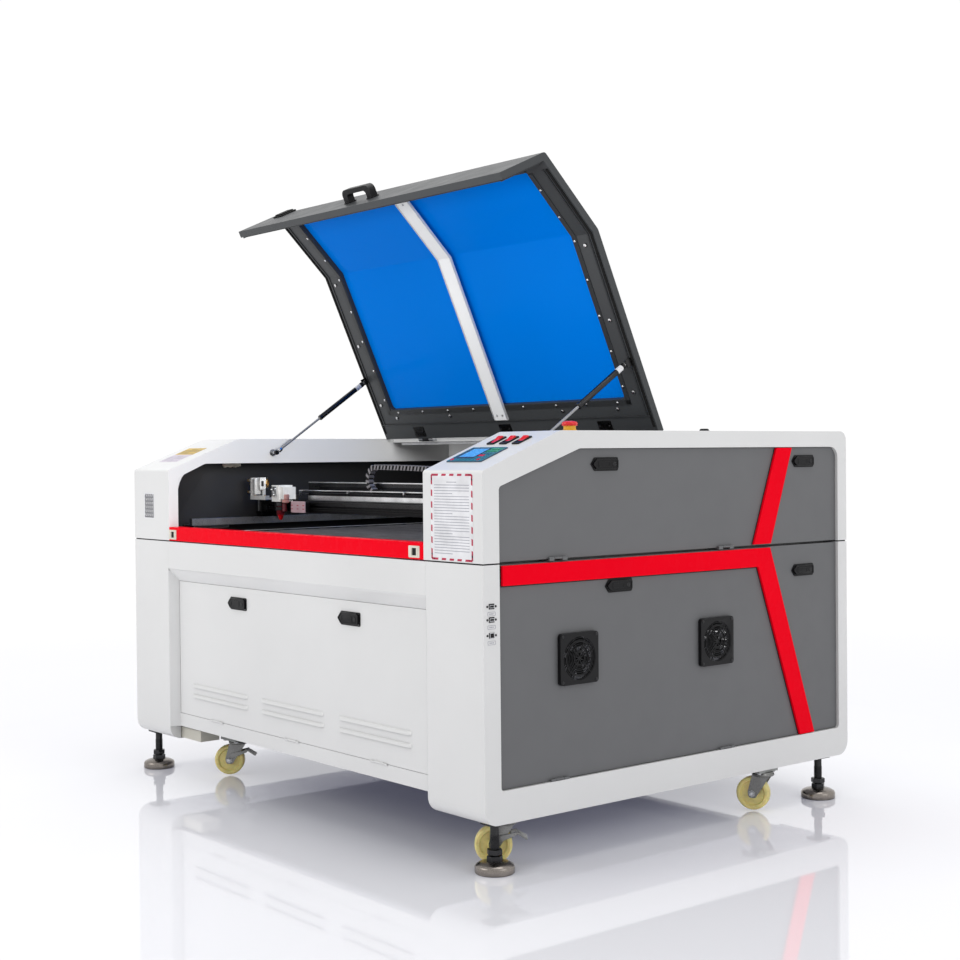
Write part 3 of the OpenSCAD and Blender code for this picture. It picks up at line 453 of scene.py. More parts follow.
def glass(name, tint, rough=0.02, alpha=1.0):
    n = Nodes(name, rough, 0, tint)
    n.set(transmission_weight=0.9, ior=1.47)
    n.bump(n.noise(12, 2), 0.05, 0.001)
    n.rough(n.ramp(n.noise(20, 3), 0.3, 0.7, rough, rough + 0.06))
    return n.material


def screen():
    """The controller's lit display: a pale blue field with darker bars."""
    n = Nodes("display", 0.12, 0, (0.02, 0.1, 0.3))
    bars = n.add("ShaderNodeTexBrick")
    bars.inputs["Scale"].default_value = 70
    bars.inputs["Color1"].default_value = (0.10, 0.34, 0.70, 1)
    bars.inputs["Color2"].default_value = (0.16, 0.48, 0.84, 1)
    bars.inputs["Mortar"].default_value = (0.03, 0.14, 0.38, 1)
    n.link(n.coords, bars.inputs["Vector"])
    n.colour(bars.outputs["Color"])
    n.link(bars.outputs["Color"], n.shader.inputs["Emission Color"])
    n.set(emission_strength=0.35, coat_weight=0.6, coat_roughness=0.03)
    return n.material


WHITE = (0.735, 0.735, 0.73)
GREY = (0.125, 0.127, 0.132)
CHARCOAL = (0.042, 0.045, 0.048)

white_paint = powder_coat("white_powder_coat", WHITE, 0.36, 0.2, 0.35, 0.3)
grey_paint = powder_coat("grey_powder_coat", GREY, 0.5, 0.45, 0.35, 0.25, 0.05)
charcoal_paint = powder_coat("charcoal_powder_coat", CHARCOAL, 0.4, 0.4, 0.3, 0.5, 0.03, 0.25)
tub_paint = powder_coat("dark_liner_coat", (0.034, 0.034, 0.037), 0.45, 0.3, 0.4, 0.3, 0.05)
bar_paint = powder_coat("bar_powder_coat", (0.76, 0.77, 0.78), 0.35, 0.15, 0.3, 0.2)
frame_paint = powder_coat("frame_paint", (0.30, 0.31, 0.30), 0.5, 0.4, 0.5, 0.2, 0.0)
red_paint = gloss_paint("red_enamel", (0.88, 0.0, 0.012), 0.25)
black_plastic = moulded("black_plastic", (0.006, 0.006, 0.007), 0.35, shine=0.2)
soft_black = moulded("black_rubber", (0.008, 0.008, 0.008), 0.6, 900, 0.4, 0.2)
chain_plastic = moulded("chain_plastic", (0.28, 0.27, 0.29), 0.5)
red_plastic = moulded("red_plastic", (0.75, 0.008, 0.012), 0.25, 1200, 0.08)
yellow_plastic = moulded("yellow_plastic", (0.85, 0.45, 0.01), 0.3, 1200, 0.1)
cream_plastic = moulded("cream_plastic", (0.72, 0.68, 0.58), 0.35, 1000, 0.1)
green_plastic = moulded("green_keys", (0.02, 0.35, 0.16), 0.3, 1200, 0.08)
teal_film = moulded("teal_membrane", (0.02, 0.20, 0.27), 0.3, 1500, 0.06)
slate_film = moulded("slate_membrane", (0.03, 0.06, 0.12), 0.28, 1500, 0.06)
zinc = metal("zinc_plate", (0.55, 0.56, 0.58), 0.3, spots=0.2)
fork_steel = metal("stamped_steel", (0.21, 0.21, 0.205), 0.28, (1, 1, 12), 0.1)
bright_steel = metal("bright_steel", (0.75, 0.75, 0.76), 0.16, (1, 1, 40), 0.08)
aluminium = metal("satin_aluminium", (0.80, 0.81, 0.82), 0.3, (1, 60, 60), 0.15)
black_steel = metal("black_oxide", (0.045, 0.045, 0.047), 0.32, brush=0.15)
dark_aluminium = metal("black_anodised", (0.018, 0.018, 0.020), 0.3, (1, 60, 60), 0.15)
lens_red = moulded("anodised_red", (0.12, 0.006, 0.012), 0.3, 1200, 0.1)
lens_pink = moulded("copper_pink", (0.62, 0.30, 0.27), 0.25, 1200, 0.1)
warm_paint = powder_coat("cream_primer", (0.56, 0.54, 0.47), 0.45, 0.3, 0.4, 0.2, 0.0)
foot_metal = metal("nickel_iron", (0.24, 0.215, 0.195), 0.2, (1, 1, 30), 0.25, spots=0.2)
rod_steel = moulded("ground_rod", (0.34, 0.34, 0.35), 0.25, 900, 0.08)
bright_satin = moulded("satin_white_metal", (0.80, 0.80, 0.78), 0.3, 900, 0.1)
brass = metal("brass", (0.80, 0.52, 0.22), 0.25)
blue_acrylic = blue_window()
cream_nylon = nylon()
tube_glass = glass("tube_glass", (0.93, 0.86, 0.95))
display = screen()
paper = moulded("white_label", (0.80, 0.80, 0.82), 0.4, 1500, 0.05)
ink = moulded("grey_ink", (0.35, 0.35, 0.40), 0.5, 1500, 0.05)
dark_ink = moulded("dark_ink", (0.10, 0.10, 0.11), 0.5, 1500, 0.05)
red_ink = moulded("red_ink", (0.46, 0.004, 0.05), 0.45, 1500, 0.05)
amber_label = moulded("amber_label", (0.62, 0.40, 0.03), 0.35, 1500, 0.05)
lilac_label = moulded("lilac_label", (0.62, 0.55, 0.64), 0.35, 1500, 0.05)
pink_label = moulded("pink_label", (0.60, 0.42, 0.46), 0.35, 1500, 0.05)
comb_metal = metal("honeycomb_foil", (0.42, 0.42, 0.46), 0.35, brush=0.1)

# material: CAD nodes, and the width in millimetres of the rounding on their edges
CAD_LOOKS = {
    white_paint: ("left_stand right_stand left_housing right_housing front_fascia rear_deck rear_panel front_door", 0.9),
    frame_paint: ("welded_frame", 1.5),
    red_paint: ("front_sill right_upper_stripe right_lower_stripe", 0.8),
    tub_paint: ("work_tub", 0.5),
    slate_film: ("control_panel", 0.8),
    zinc: ("fixed_pivots lift_screws power_supply", 0.4),
    yellow_plastic: ("stop_base", 2.0),
    aluminium: ("y_rails tube_brackets", 0.6),
    bright_satin: ("mirror_mount laser_head", 0.6),
    tube_glass: ("laser_tube", 0.0),
    charcoal_paint: ("lid_frame", 0.9),
    blue_acrylic: ("lid_window", 0.0),
    bar_paint: ("lid_centre_bar", 1.0),
    black_plastic: ("port_sockets lid_handle front_door_latches right_upper_latches right_lower_latches vent_guards front_fan"
                    " rear_fan", 0.8),
    fork_steel: ("front_left_fork front_right_fork rear_left_fork rear_right_fork lid_screws", 0.6),
    rod_steel: ("left_strut_rod right_strut_rod", 0.3),
    black_steel: ("lid_pivots left_strut_tube right_strut_tube", 0.4),
    grey_paint: ("right_upper_panel right_lower_panel left_upper_panel left_lower_panel", 0.9),
    dark_aluminium: ("gantry_beam honeycomb_table", 0.5),
    chain_plastic: ("drag_chain", 0.5),
    red_plastic: ("stop_button left_rocker middle_rocker right_rocker", 0.8),
    cream_nylon: ("front_left_wheel front_right_wheel rear_left_wheel rear_right_wheel", 0.6),
    foot_metal: ("levelling_feet", 0.5),
}

for look, (names, edge) in CAD_LOOKS.items():
    for name in names.split():
        node = nodes[name]
        node.data.materials.clear()
        node.data.materials.append(look)
        weld = node.modifiers.new("weld", "WELD")
        weld.merge_threshold = 0.00001
        if edge:
            planar = node.modifiers.new("flat_faces", "DECIMATE")
            planar.decimate_type = "DISSOLVE"
            planar.angle_limit = math.radians(0.5)
            add_bevel(node, edge * MM, 40)
        else:
            node.modifiers.new("shading", "WEIGHTED_NORMAL").keep_sharp = True

# ---------------------------------------------------------------- fine parts

def paint_faces(node, material, test):
    """Gives a second material to the faces of a CAD node whose middle passes the test, in millimetres."""
    mesh = nodes[node].data
    mesh.materials.append(material)
    index = len(mesh.materials) - 1
    for face in mesh.polygons:
        if test(face.center / MM):
            face.material_index = index


def low(node):
    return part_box(node)[0] / MM


def high(node):
    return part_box(node)[1] / MM


HX, HY = high("right_stand").x, high("right_stand").y
TOP = high("right_housing").z
FACE_X = low("right_upper_stripe").x
INNER_X = low("right_housing").x
SEAM = (high("right_stand").z + low("right_housing").z) / 2
NOSE, RUN = 1038.0, 269.0
SLOPE = math.atan2(TOP - NOSE, RUN)
KNEE_Y = RUN - HY
hinge = Vector(joints["lid_hinge"]["pos_m"]) / MM
swing = (Matrix.Translation(hinge) @ Matrix.Rotation(-math.radians(joints["lid_hinge"]["range_deg"][1]), 4, "X")
         @ Matrix.Translation(-hinge))
mirrored = Matrix.Scale(-1, 4, (1, 0, 0))


def on_slope(x, s, lift=0.0):
    """A frame on the front slope: X to the right, Y up the slope, Z out of it."""
    out = Vector((0, -math.sin(SLOPE), math.cos(SLOPE)))
    origin = Vector((x, s * math.cos(SLOPE) - HY, NOSE + s * math.sin(SLOPE))) + out * lift
    return placed(origin, (1, 0, 0), (0, math.cos(SLOPE), math.sin(SLOPE)))


def on_front(x, y, z):
    return placed((x, y, z), (1, 0, 0), (0, 0, 1))


def on_back(x, y, z):
    return placed((x, y, z), (-1, 0, 0), (0, 0, 1))


def on_right(x, y, z):
    return placed((x, y, z), (0, 1, 0), (0, 0, 1))


def loft(bm, sections):
    """A solid through closed sections that have the same number of points."""
    rows = [[bm.verts.new(Vector(p)) for p in section] for section in sections]
    for a, b in zip(rows, rows[1:]):
        for k in range(len(a)):
            j = (k + 1) % len(a)
            bm.faces.new((a[k], a[j], b[j], b[k]))
    bm.faces.new(rows[0][::-1])
    bm.faces.new(rows[-1])


def screws(name, places, body, r=3.2, height=2.2, material=None):
    """Pan-head screws, each place a frame whose local Z points out of the surface."""
    bm = bmesh.new()
    for m in places:
        pan_head(bm, m, r, height)
    return part(name, bm, body, material or zinc, 0, 30)


# Cabinet: black strips in the seams as painted shadow, foot bosses, panel stripes on the left

for side, turn in (("right", Matrix()), ("left", mirrored)):
    # Painted shadow: thin black strips set into the seams between stands and housings.
    bm = bmesh.new()
    for y0, y1 in ((3.2 - HY, 9 - HY), (HY - 9, HY - 3.2)):
        block(bm, (INNER_X + 12, y0, SEAM - 2), (HX - 3.2, y1, SEAM + 2), turn)
    for y0, y1 in ((9 - HY, 52 - HY), (HY - 40, HY - 9)):
        block(bm, (HX - 9, y0, SEAM - 2), (HX - 3.2, y1, SEAM + 2), turn)
    part(f"{side}_seam_shadow_strip", bm, "cabinet", soft_black)

feet = [(x, y) for x in (-912, 912) for y in (-678, 640)]
bm = bmesh.new()
threads = bmesh.new()
for x, y in feet:
    hole = Matrix.Translation((x, y, 0))
    ring(bm, rectangle(-27, -27, 27, 27, 4, 11), circle(14.5, 48)[6:] + circle(14.5, 48)[:6], 125, 130, hole)
    pitch, turns_up = 3.0, 18
    profile = [(10.5, 44)]
    for k in range(turns_up):
        profile += [(11.6, 44.4 + pitch * k), (12.5, 44.9 + pitch * k), (12.5, 45.7 + pitch * k), (11.6, 46.2 + pitch * k)]
    turned(threads, profile + [(10.5, 44.4 + pitch * turns_up)], hole, 24)
part("foot_bosses", bm, "cabinet", black_steel, 0.8)
part("foot_threads", threads, "levelling_feet", black_steel)

bm = bmesh.new()
for x, y in feet:
    nut = [(21.5 * math.cos(math.radians(60 * k + 30)), 21.5 * math.sin(math.radians(60 * k + 30))) for k in range(6)]
    prism(bm, nut, 47, 61, Matrix.Translation((x, y, 0)))
part("foot_lock_nuts", bm, "levelling_feet", black_steel, 1.4)

lower_stripe = [(-674, 742), (321, 739), (510, 218), (577, 218), (375, 794), (-674, 794)]
upper_stripe = [(302, 806), (378, 806), (478, 1092), (408, 1092)]
# Painted shadow: black sheets along the stripes' lower and front edges
for side, turn in (("right", Matrix()), ("left", mirrored)):
    m = turn @ on_right(FACE_X, 0, 0)
    bm = bmesh.new()
    for dy, dz in ((0, -3.2), (-3.2, 0)):
        prism(bm, [(y + dy, z + dz) for y, z in lower_stripe], 0, 1.2, m)
    part(f"{side}_lower_stripe_shadow", bm, f"{side}_lower_panel", soft_black)
    bm = bmesh.new()
    prism(bm, [(y - 3.2, z) for y, z in upper_stripe], 0, 1.2, m)
    part(f"{side}_upper_stripe_shadow", bm, f"{side}_upper_panel", soft_black)

for name, outline, body in (("left_upper_stripe", upper_stripe, "left_upper_panel"),
                            ("left_lower_stripe", lower_stripe, "left_lower_panel")):
    bm = bmesh.new()
    prism(bm, outline, 0, 8.5, mirrored @ on_right(FACE_X, 0, 0))
    part(name, bm, body, red_paint, 0.8)


# Latches: a rim, a finger dish and a key cylinder on every paddle; the left side gets its paddles here too


def paddle(length, height, grow=0.0):
    a, b = length / 2 + grow, height / 2 + grow
    return rounded([(-a, 0, 4), (14 - a, -b, 6), (a, -b, 5), (a, b, 5), (14 - a, b, 6)], 4)


def paddle_trim(bm, metal_bm, m, length, height):
    ring(bm, paddle(length, height), paddle(length, height, -2.6), 0, 1.3, m)
    ring(bm, rectangle(-length / 2 + 20, -height / 2 + 6, length / 2 - 30, height / 2 - 6, 3, 3),
         rectangle(-length / 2 + 22, -height / 2 + 8, length / 2 - 32, height / 2 - 8, 2, 3), 0, 0.9, m)
    key = m @ Matrix.Translation((length / 2 - 15, 0, 0))
    turned(metal_bm, [(0, 1.6), (5.2, 1.6), (6, 1.0), (6.4, 0), (0, 0)], key, 32)
    block(bm, (-0.8, -4, 1.5), (0.8, 4, 1.9), key)


front_latches = [on_front(x, -717.2, 614) for x in (-311, 311)]
upper_latches = [on_right(FACE_X + 7, y, 1051) for y in (-303, 536)]
lower_latches = [on_right(FACE_X + 7, y, 719) for y in (-253, 532)]
for prefix, places, body, length, height in (
        ("front_door", front_latches, "front_door_latches", 100, 30),
        ("right_upper", upper_latches, "right_upper_latches", 94, 27),
        ("right_lower", lower_latches, "right_lower_latches", 94, 27),
        ("left_upper", [mirrored @ m for m in upper_latches], "left_upper_panel", 94, 27),
        ("left_lower", [mirrored @ m for m in lower_latches], "left_lower_panel", 94, 27)):
    bm, key_bm = bmesh.new(), bmesh.new()
    for m in places:
        paddle_trim(bm, key_bm, m, length, height)
        if prefix.startswith("left"):
            prism(bm, paddle(length, height), -7, 0, m)
    part(f"{prefix}_paddle_trim", bm, body, black_plastic, 0.3)
    part(f"{prefix}_key_cylinders", key_bm, body, black_steel)

for prefix, places, body, length, height, depth in (
        ("front_door", front_latches, "front_door", 100, 30, -7.2),
        ("right_upper", upper_latches, "right_upper_panel", 94, 27, -7),
        ("right_lower", lower_latches, "right_lower_panel", 94, 27, -7)):
    bm = bmesh.new()
    for m in places:
        ring(bm, paddle(length, height, 5), paddle(length, height, 1), depth, depth + 1.6, m)
    part(f"{prefix}_latch_bezels", bm, body, black_plastic, 0.4)


# Front door: hooded louvres

bm = bmesh.new()
for x0, x1 in ((-605, -256), (-173, 173), (254, 603)):
    for z in (287, 321):
        sheet = [(0, 8), (-2.8, 7), (-6, -1.5), (-6.2, -4), (-5.2, -4), (-4.9, -1.5), (-2, 5.4), (0, 6.4)]
        sections = []
        for x, k in ((x0, 0.12), (x0 + 5, 0.7), (x0 + 12, 1), (x1 - 12, 1), (x1 - 5, 0.7), (x1, 0.12)):
            sections.append([(x, -710 + y * k, z + h) for y, h in sheet])
        loft(bm, sections)
part("door_louvre_hoods", bm, "front_door", white_paint, 0, 50)


# Side vents: corner screws and the fans' motor caps

screws("vent_guard_screws", [on_right(FACE_X + 12, y + a, 534 + b) for y in (-410, 135) for a in (-61, 61)
                             for b in (-61, 61)], "right_lower_panel", 4.2, 2.0, black_steel)
bm = bmesh.new()
for y in (-410, 135):
    m = on_right(FACE_X + 11.6, y, 534)
    for k in range(8):
        ring(bm, circle(16.5 + 5.6 * k, 48), circle(15 + 5.6 * k, 48), -1.0, 0.8, m)
    for k in range(4):
        turned_m = m @ Matrix.Rotation(math.radians(45 + 90 * k), 4, "Z")
        block(bm, (12, -1, -1.0), (56, 1, 1.4), turned_m)
part("vent_guard_rings", bm, "right_lower_panel", black_plastic)
for name, y in (("front_fan", -410), ("rear_fan", 135)):
    bm = bmesh.new()
    turned(bm, [(4, 0), (4, 1.2), (15, 1.2), (16.4, 0.6), (16.6, 0)], on_right(FACE_X + 2, y, 534), 48)
    part(f"{name}_hub_cap", bm, name, dark_aluminium)


# Ports on the front edge of the right column

bm, dark_bm = bmesh.new(), bmesh.new()
port_screws = []
for z, wide, tall in ((693, 12.5, 5), (659, 12.5, 5), (619, 12, 11)):
    m = on_right(HX + 1.5, -713, z)
    ring(bm, rectangle(-wide / 2 - 1.6, -tall / 2 - 1.6, wide / 2 + 1.6, tall / 2 + 1.6, 1, 3),
         rectangle(-wide / 2, -tall / 2, wide / 2, tall / 2, 0.5, 3), 0, 1.2, m)
    block(dark_bm, (-wide / 2, -tall / 2, 0), (wide / 2, tall / 2, 0.25), m)
    block(dark_bm, (-wide / 2 + 1, -0.9, 0.25), (wide / 2 - 1, 0.6, 0.6), m)
    port_screws += [on_right(HX, -713 + dy, z) for dy in (-14, 14)]
part("port_shells", bm, "cabinet", zinc, 0.2)
part("port_contacts", dark_bm, "cabinet", black_plastic)
bm = bmesh.new()
for z in (693, 659, 619):
    m = on_right(HX, -713, z - 19)
    ring(bm, rectangle(-13, -5, 13, 5, 2, 3), rectangle(-12.2, -4.2, 12.2, 4.2, 1.5, 3), 0, 0.5, m)
    for dy in (-7, -2, 3):
        block(bm, (dy, -1.2, 0), (dy + 3.4, 1.2, 0.4), m)
part("port_labels", bm, "cabinet", ink, 0)
screws("port_screws", port_screws, "cabinet", 3.0, 1.8, black_steel)


# Red sill: two moulded strike frames

bm, dark_bm = bmesh.new(), bmesh.new()
for x in (-676, 663):
    m = on_front(x, -HY, 822)
    ring(bm, rectangle(-24, -16, 24, 16, 3, 4), rectangle(-9, -10, 11, 10, 1.5, 4), 0, 2.6, m)
    ring(bm, rectangle(-15, -13, 17, 13, 2, 4), rectangle(-9, -10, 11, 10, 1.5, 4), 2.4, 3.6, m)
    block(dark_bm, (-9, -10, 0), (11, 10, 0.4), m)
    block(dark_bm, (-3, -7, 0.4), (5, 7, 1.8), m)
part("lid_strikes", bm, "cabinet", cream_plastic, 0.5)
part("strike_slots", dark_bm, "cabinet", soft_black)

# Console: membrane keys, display, rocker bezels and the two labels on the right column

console = on_slope(805, 111, 3)
bm = bmesh.new()
ring(bm, rectangle(-71.5, -49.5, 71.5, 49.5, 4, 4), rectangle(-68, -46, 68, 46, 3, 4), 0, 0.8, console)
part("membrane_border", bm, "cabinet", teal_film, 0.2)
bm = bmesh.new()
ring(bm, rectangle(-57, -27, 17, 43, 3, 4), rectangle(-53, -22, 13, 39, 2, 4), 0, 1.6, console)
part("display_frame", bm, "cabinet", slate_film, 0.3)
bm = bmesh.new()
prism(bm, rectangle(-53, -22, 13, 39, 2, 4), 0, 0.7, console)
part("display_glass", bm, "cabinet", display)
red_bm, green_bm, teal_bm = bmesh.new(), bmesh.new(), bmesh.new()
for column, x in enumerate((25, 37, 49, 61)):
    for row, y in enumerate((-38, -24, -10, 6, 21, 36)):
        target = green_bm if row > 3 else red_bm if (column, row) in ((0, 2), (1, 2), (2, 0)) else teal_bm
        prism(target, rectangle(x - 4.6, y - 5, x + 4.6, y + 5, 1.8, 4), 0, 1.3, console)
for x in (-60, -46, -32, -18, -4, 10):
    prism(red_bm if x == -60 else teal_bm, rectangle(x - 5, -43, x + 5, -33, 1.8, 4), 0, 1.3, console)
part("console_red_keys", red_bm, "cabinet", red_plastic, 0.4)
part("console_green_keys", green_bm, "cabinet", green_plastic, 0.4)
part("console_teal_keys", teal_bm, "cabinet", teal_film, 0.4)
bm = bmesh.new()
for x in (771, 823, 875):
    ring(bm, rectangle(-14.4, -26.4, 14.4, 26.4, 3, 4), rectangle(-10.6, -20.6, 10.6, 20.6, 1.5, 4), 2.6, 4.2, on_slope(x, 215))
part("rocker_bezels", bm, "cabinet", black_plastic, 0.6)
bm = bmesh.new()
turned(bm, [(16.8, 0.2), (20.4, 0.2), (20.4, 3), (18.6, 4.6), (17.3, 4.8), (17.3, 15), (16.8, 15)],
       Matrix.Translation((820, -317, TOP)), 64)
part("stop_collar", bm, "cabinet", yellow_plastic, 0)
bm = bmesh.new()
for k in range(3):
    arm = Matrix.Translation((820, -317, TOP + 27.6)) @ Matrix.Rotation(math.radians(120 * k), 4, "Z")
    prism(bm, [(3, -1.2), (8, -1.2), (8, -3), (12, 0), (8, 3), (8, 1.2), (3, 1.2)], 0, 0.9, arm)
part("stop_arrows", bm, "stop_button", paper)


def sheet_label(name, m, width, height, body, material, lines=0, ink_material=None, dashes=False):
    """A blank printed sheet: ruled lines stand for its text, and dashes for a warning border."""
    bm = bmesh.new()
    prism(bm, rectangle(-width / 2, -height / 2, width / 2, height / 2, 2, 3), 0, 0.5, m)
    part(name, bm, body, material, 0.1)
    if lines:
        bm = bmesh.new()
        margin = 14 if dashes else 5
        for k in range(lines):
            y = height / 2 - margin - 8 - k * (height - 2 * margin - 12) / max(1, lines - 1)
            inset_x = margin + (width * 0.3 if k == 0 else 0)
            end = width / 2 - inset_x - (width * 0.4 if k % 7 == 4 else 0)
            block(bm, (inset_x - width / 2, y - 0.9, 0.5), (end, y + 0.9, 0.7), m)
        part(f"{name}_lines", bm, body, ink_material or ink)
    if dashes:
        bm = bmesh.new()
        for s, length, turn, count in ((height / 2 - 3, width, 0, 5), (width / 2 - 3, height, 90, 7),
                                       (height / 2 - 3, width, 180, 5), (width / 2 - 3, height, 270, 7)):
            edge = m @ Matrix.Rotation(math.radians(turn), 4, "Z")
            step = (length - 10) / count
            for k in range(count):
                x = 5 - length / 2 + step * (k + 0.22)
                prism(bm, [(x, s - 2.8), (x + step * 0.55, s - 2.8), (x + step * 0.6, s + 2.8), (x + 2, s + 2.8)], 0.5, 0.8, edge)
        for x0, y0 in ((-1, 1), (1, 1), (-1, -1), (1, -1)):
            cx, cy = x0 * (width / 2 - 3), y0 * (height / 2 - 3)
            block(bm, (min(cx, cx - x0 * 12), cy - 2.8, 0.5), (max(cx, cx - x0 * 12), cy + 2.8, 0.8), m)
            block(bm, (cx - 2.8, min(cy, cy - y0 * 14), 0.5), (cx + 2.8, max(cy, cy - y0 * 14), 0.8), m)
        part(f"{name}_border", bm, body, red_ink)


sheet_label("notice_sheet", on_front(825, -HY, 918), 174, 226, "cabinet", paper, 26, ink, True)
sheet_label("data_plate", on_front(-842, -HY, 916), 70, 88, "cabinet", paper)
bm = bmesh.new()
for row in range(18):
    for column in range(14):
        if (row * 5 + column * 7 + row * column) % 3:
            x, y = -31 + 4.5 * column, 36 - 4.5 * row
            block(bm, (x, y, 0.5), (x + 4, y + 4, 0.7), on_front(-842, -HY, 916))
part("data_plate_tint_dots", bm, "cabinet", dark_ink)
sheet_label("slope_plate_amber", on_slope(-839, 172), 124, 62, "cabinet", amber_label, 6, dark_ink)
sheet_label("slope_plate_lilac", on_slope(-839, 108), 124, 66, "cabinet", lilac_label, 6, ink)


# Lid: clamp strips with screws along the window, seals, stiffening lips, hinge plates, handle feet

LID_T = 22.0


def lid_point(y, depth):
    """(y, z) of the shut lid's underside surface at a depth below its outer skin; y is measured on the outer skin."""
    if y >= KNEE_Y + depth * math.tan(SLOPE / 2):
        return y, TOP - depth
    s = (y + HY) / math.cos(SLOPE)
    return (s * math.cos(SLOPE) - HY + depth * math.sin(SLOPE), NOSE + s * math.sin(SLOPE) - depth * math.cos(SLOPE))


def lid_strip(bm, x0, x1, y0, y1, d0, d1):
    """A strip that follows the lid's bend from y0 to y1, between two depths."""
    stations = [(lid_point(y0, d0), lid_point(y0, d1))]
    if y0 < KNEE_Y < y1:
        knees = [(KNEE_Y + d * math.tan(SLOPE / 2), TOP - d) for d in (d0, d1)]
        stations.append(tuple(knees))
    stations.append((lid_point(y1, d0), lid_point(y1, d1)))
    loft(bm, [[swing @ Vector(p) for p in ((x0, *a), (x1, *a), (x1, *b), (x0, *b))] for a, b in stations])


def under_lid(x, y, depth=LID_T):
    """A frame on the lid's underside: local Z points into the cabinet."""
    a = SLOPE if y < KNEE_Y else 0.0
    py, pz = lid_point(y, depth)
    return swing @ placed((x, py, pz), (1, 0, 0), (0, -math.cos(a), -math.sin(a)))


bm = bmesh.new()
for x in (-1, 1):
    lid_strip(bm, *sorted((x * 606, x * 624)), -696, 74, LID_T, LID_T + 2.5)
lid_strip(bm, -624, -36, 58, 76, LID_T, LID_T + 2.5)
lid_strip(bm, 36, 624, 58, 76, LID_T, LID_T + 2.5)
lid_strip(bm, -604, -36, -712, -702, LID_T, LID_T + 2.5)
lid_strip(bm, 36, 604, -712, -702, LID_T, LID_T + 2.5)
part("window_clamp_strips", bm, "lid", charcoal_paint, 0.5)
strip_ys = (-640, -545, -452, -330, -215, -100, 15)
places = [under_lid(x, y, LID_T + 2.5) for x in (-615, 615) for y in strip_ys]
places += [under_lid(x, 67, LID_T + 2.5) for x in (-560, -415, -271, -130, 130, 290, 430, 570)]
screws("window_strip_screws", places, "lid", 4.6, 2.6, bright_steel)
screws("frame_screw_domes", [under_lid(x, y, LID_T + 3) for x in (-651, 651) for y in (-435, -199, 35)]
       + [under_lid(x, 88, LID_T + 3) for x in (-582, -271, 310, 560)], "lid", 5.6, 1.8, bright_steel)

bm = bmesh.new()
for x in (-1, 1):
    lid_strip(bm, *sorted((x * 672, x * 678)), -700, 118, LID_T, LID_T + 3)
lid_strip(bm, -690, 690, 112, 116, LID_T, LID_T + 5)
lid_strip(bm, -678, 678, -722, -717, LID_T, LID_T + 3)
part("lid_stiffening_lips", bm, "lid", charcoal_paint, 0.6)
bm = bmesh.new()
for x in (-1, 1):
    lid_strip(bm, *sorted((x * 686, x * 694)), -700, 150, LID_T, LID_T + 4)
part("lid_side_seals", bm, "lid", soft_black, 1.0)
bm = bmesh.new()
block(bm, (-690, 23 - HY, 856), (690, 25 - HY, 872), swing)
for x in (-690, 688):
    block(bm, (x, 23 - HY, 856), (x + 2, 27 - HY, 1020), swing)
part("flap_inner_fold", bm, "lid", charcoal_paint, 0.5)

bm = bmesh.new()
for x in (-480, 0, 480):
    m = under_lid(x, 145)
    prism(bm, rectangle(-30, -19, 30, 19, 3, 3), 0, 2.2, m)
    for dx in (-21, 21):
        pan_head(bm, m @ Matrix.Translation((dx, 0, 2.2)), 4.2, 2.2)
part("hinge_plates", bm, "lid", black_steel, 0.4)

bm = bmesh.new()
for x0, x1 in ((-33.5, -31), (31, 33.5)):
    lid_strip(bm, x0, x1, -700, 108, LID_T + 6, LID_T + 8.5)
part("centre_bar_flanges", bm, "lid", bar_paint, 0.4)
screws("centre_bar_screws", [under_lid(x, y, LID_T + 6) for x, y in ((-14, 92), (14, 92), (0, -690))], "lid", 4, 2.2)

bm = bmesh.new()
for x in (-122, 1):
    m = swing @ on_front(x, -HY, 930)
    prism(bm, rectangle(-16, -17, 16, 17, 6, 5), 0, 3.5, m)
    for dz in (-10.5, 10.5):
        pan_head(bm, m @ Matrix.Translation((0, dz, 3.5)), 3.6, 1.8)
part("handle_feet", bm, "lid", black_plastic, 0.8)
bm = bmesh.new()
prism(bm, rectangle(-27, -35, 27, 35, 6, 5), 0, 5, swing @ on_front(-612, -HY, 1000))
prism(bm, rectangle(-20, -28, 20, 28, 4, 5), 5, 9, swing @ on_front(-612, -HY, 1000))
part("flap_buffer", bm, "lid", soft_black, 1.5)


# Gas struts: sleeves, label bands, end fittings

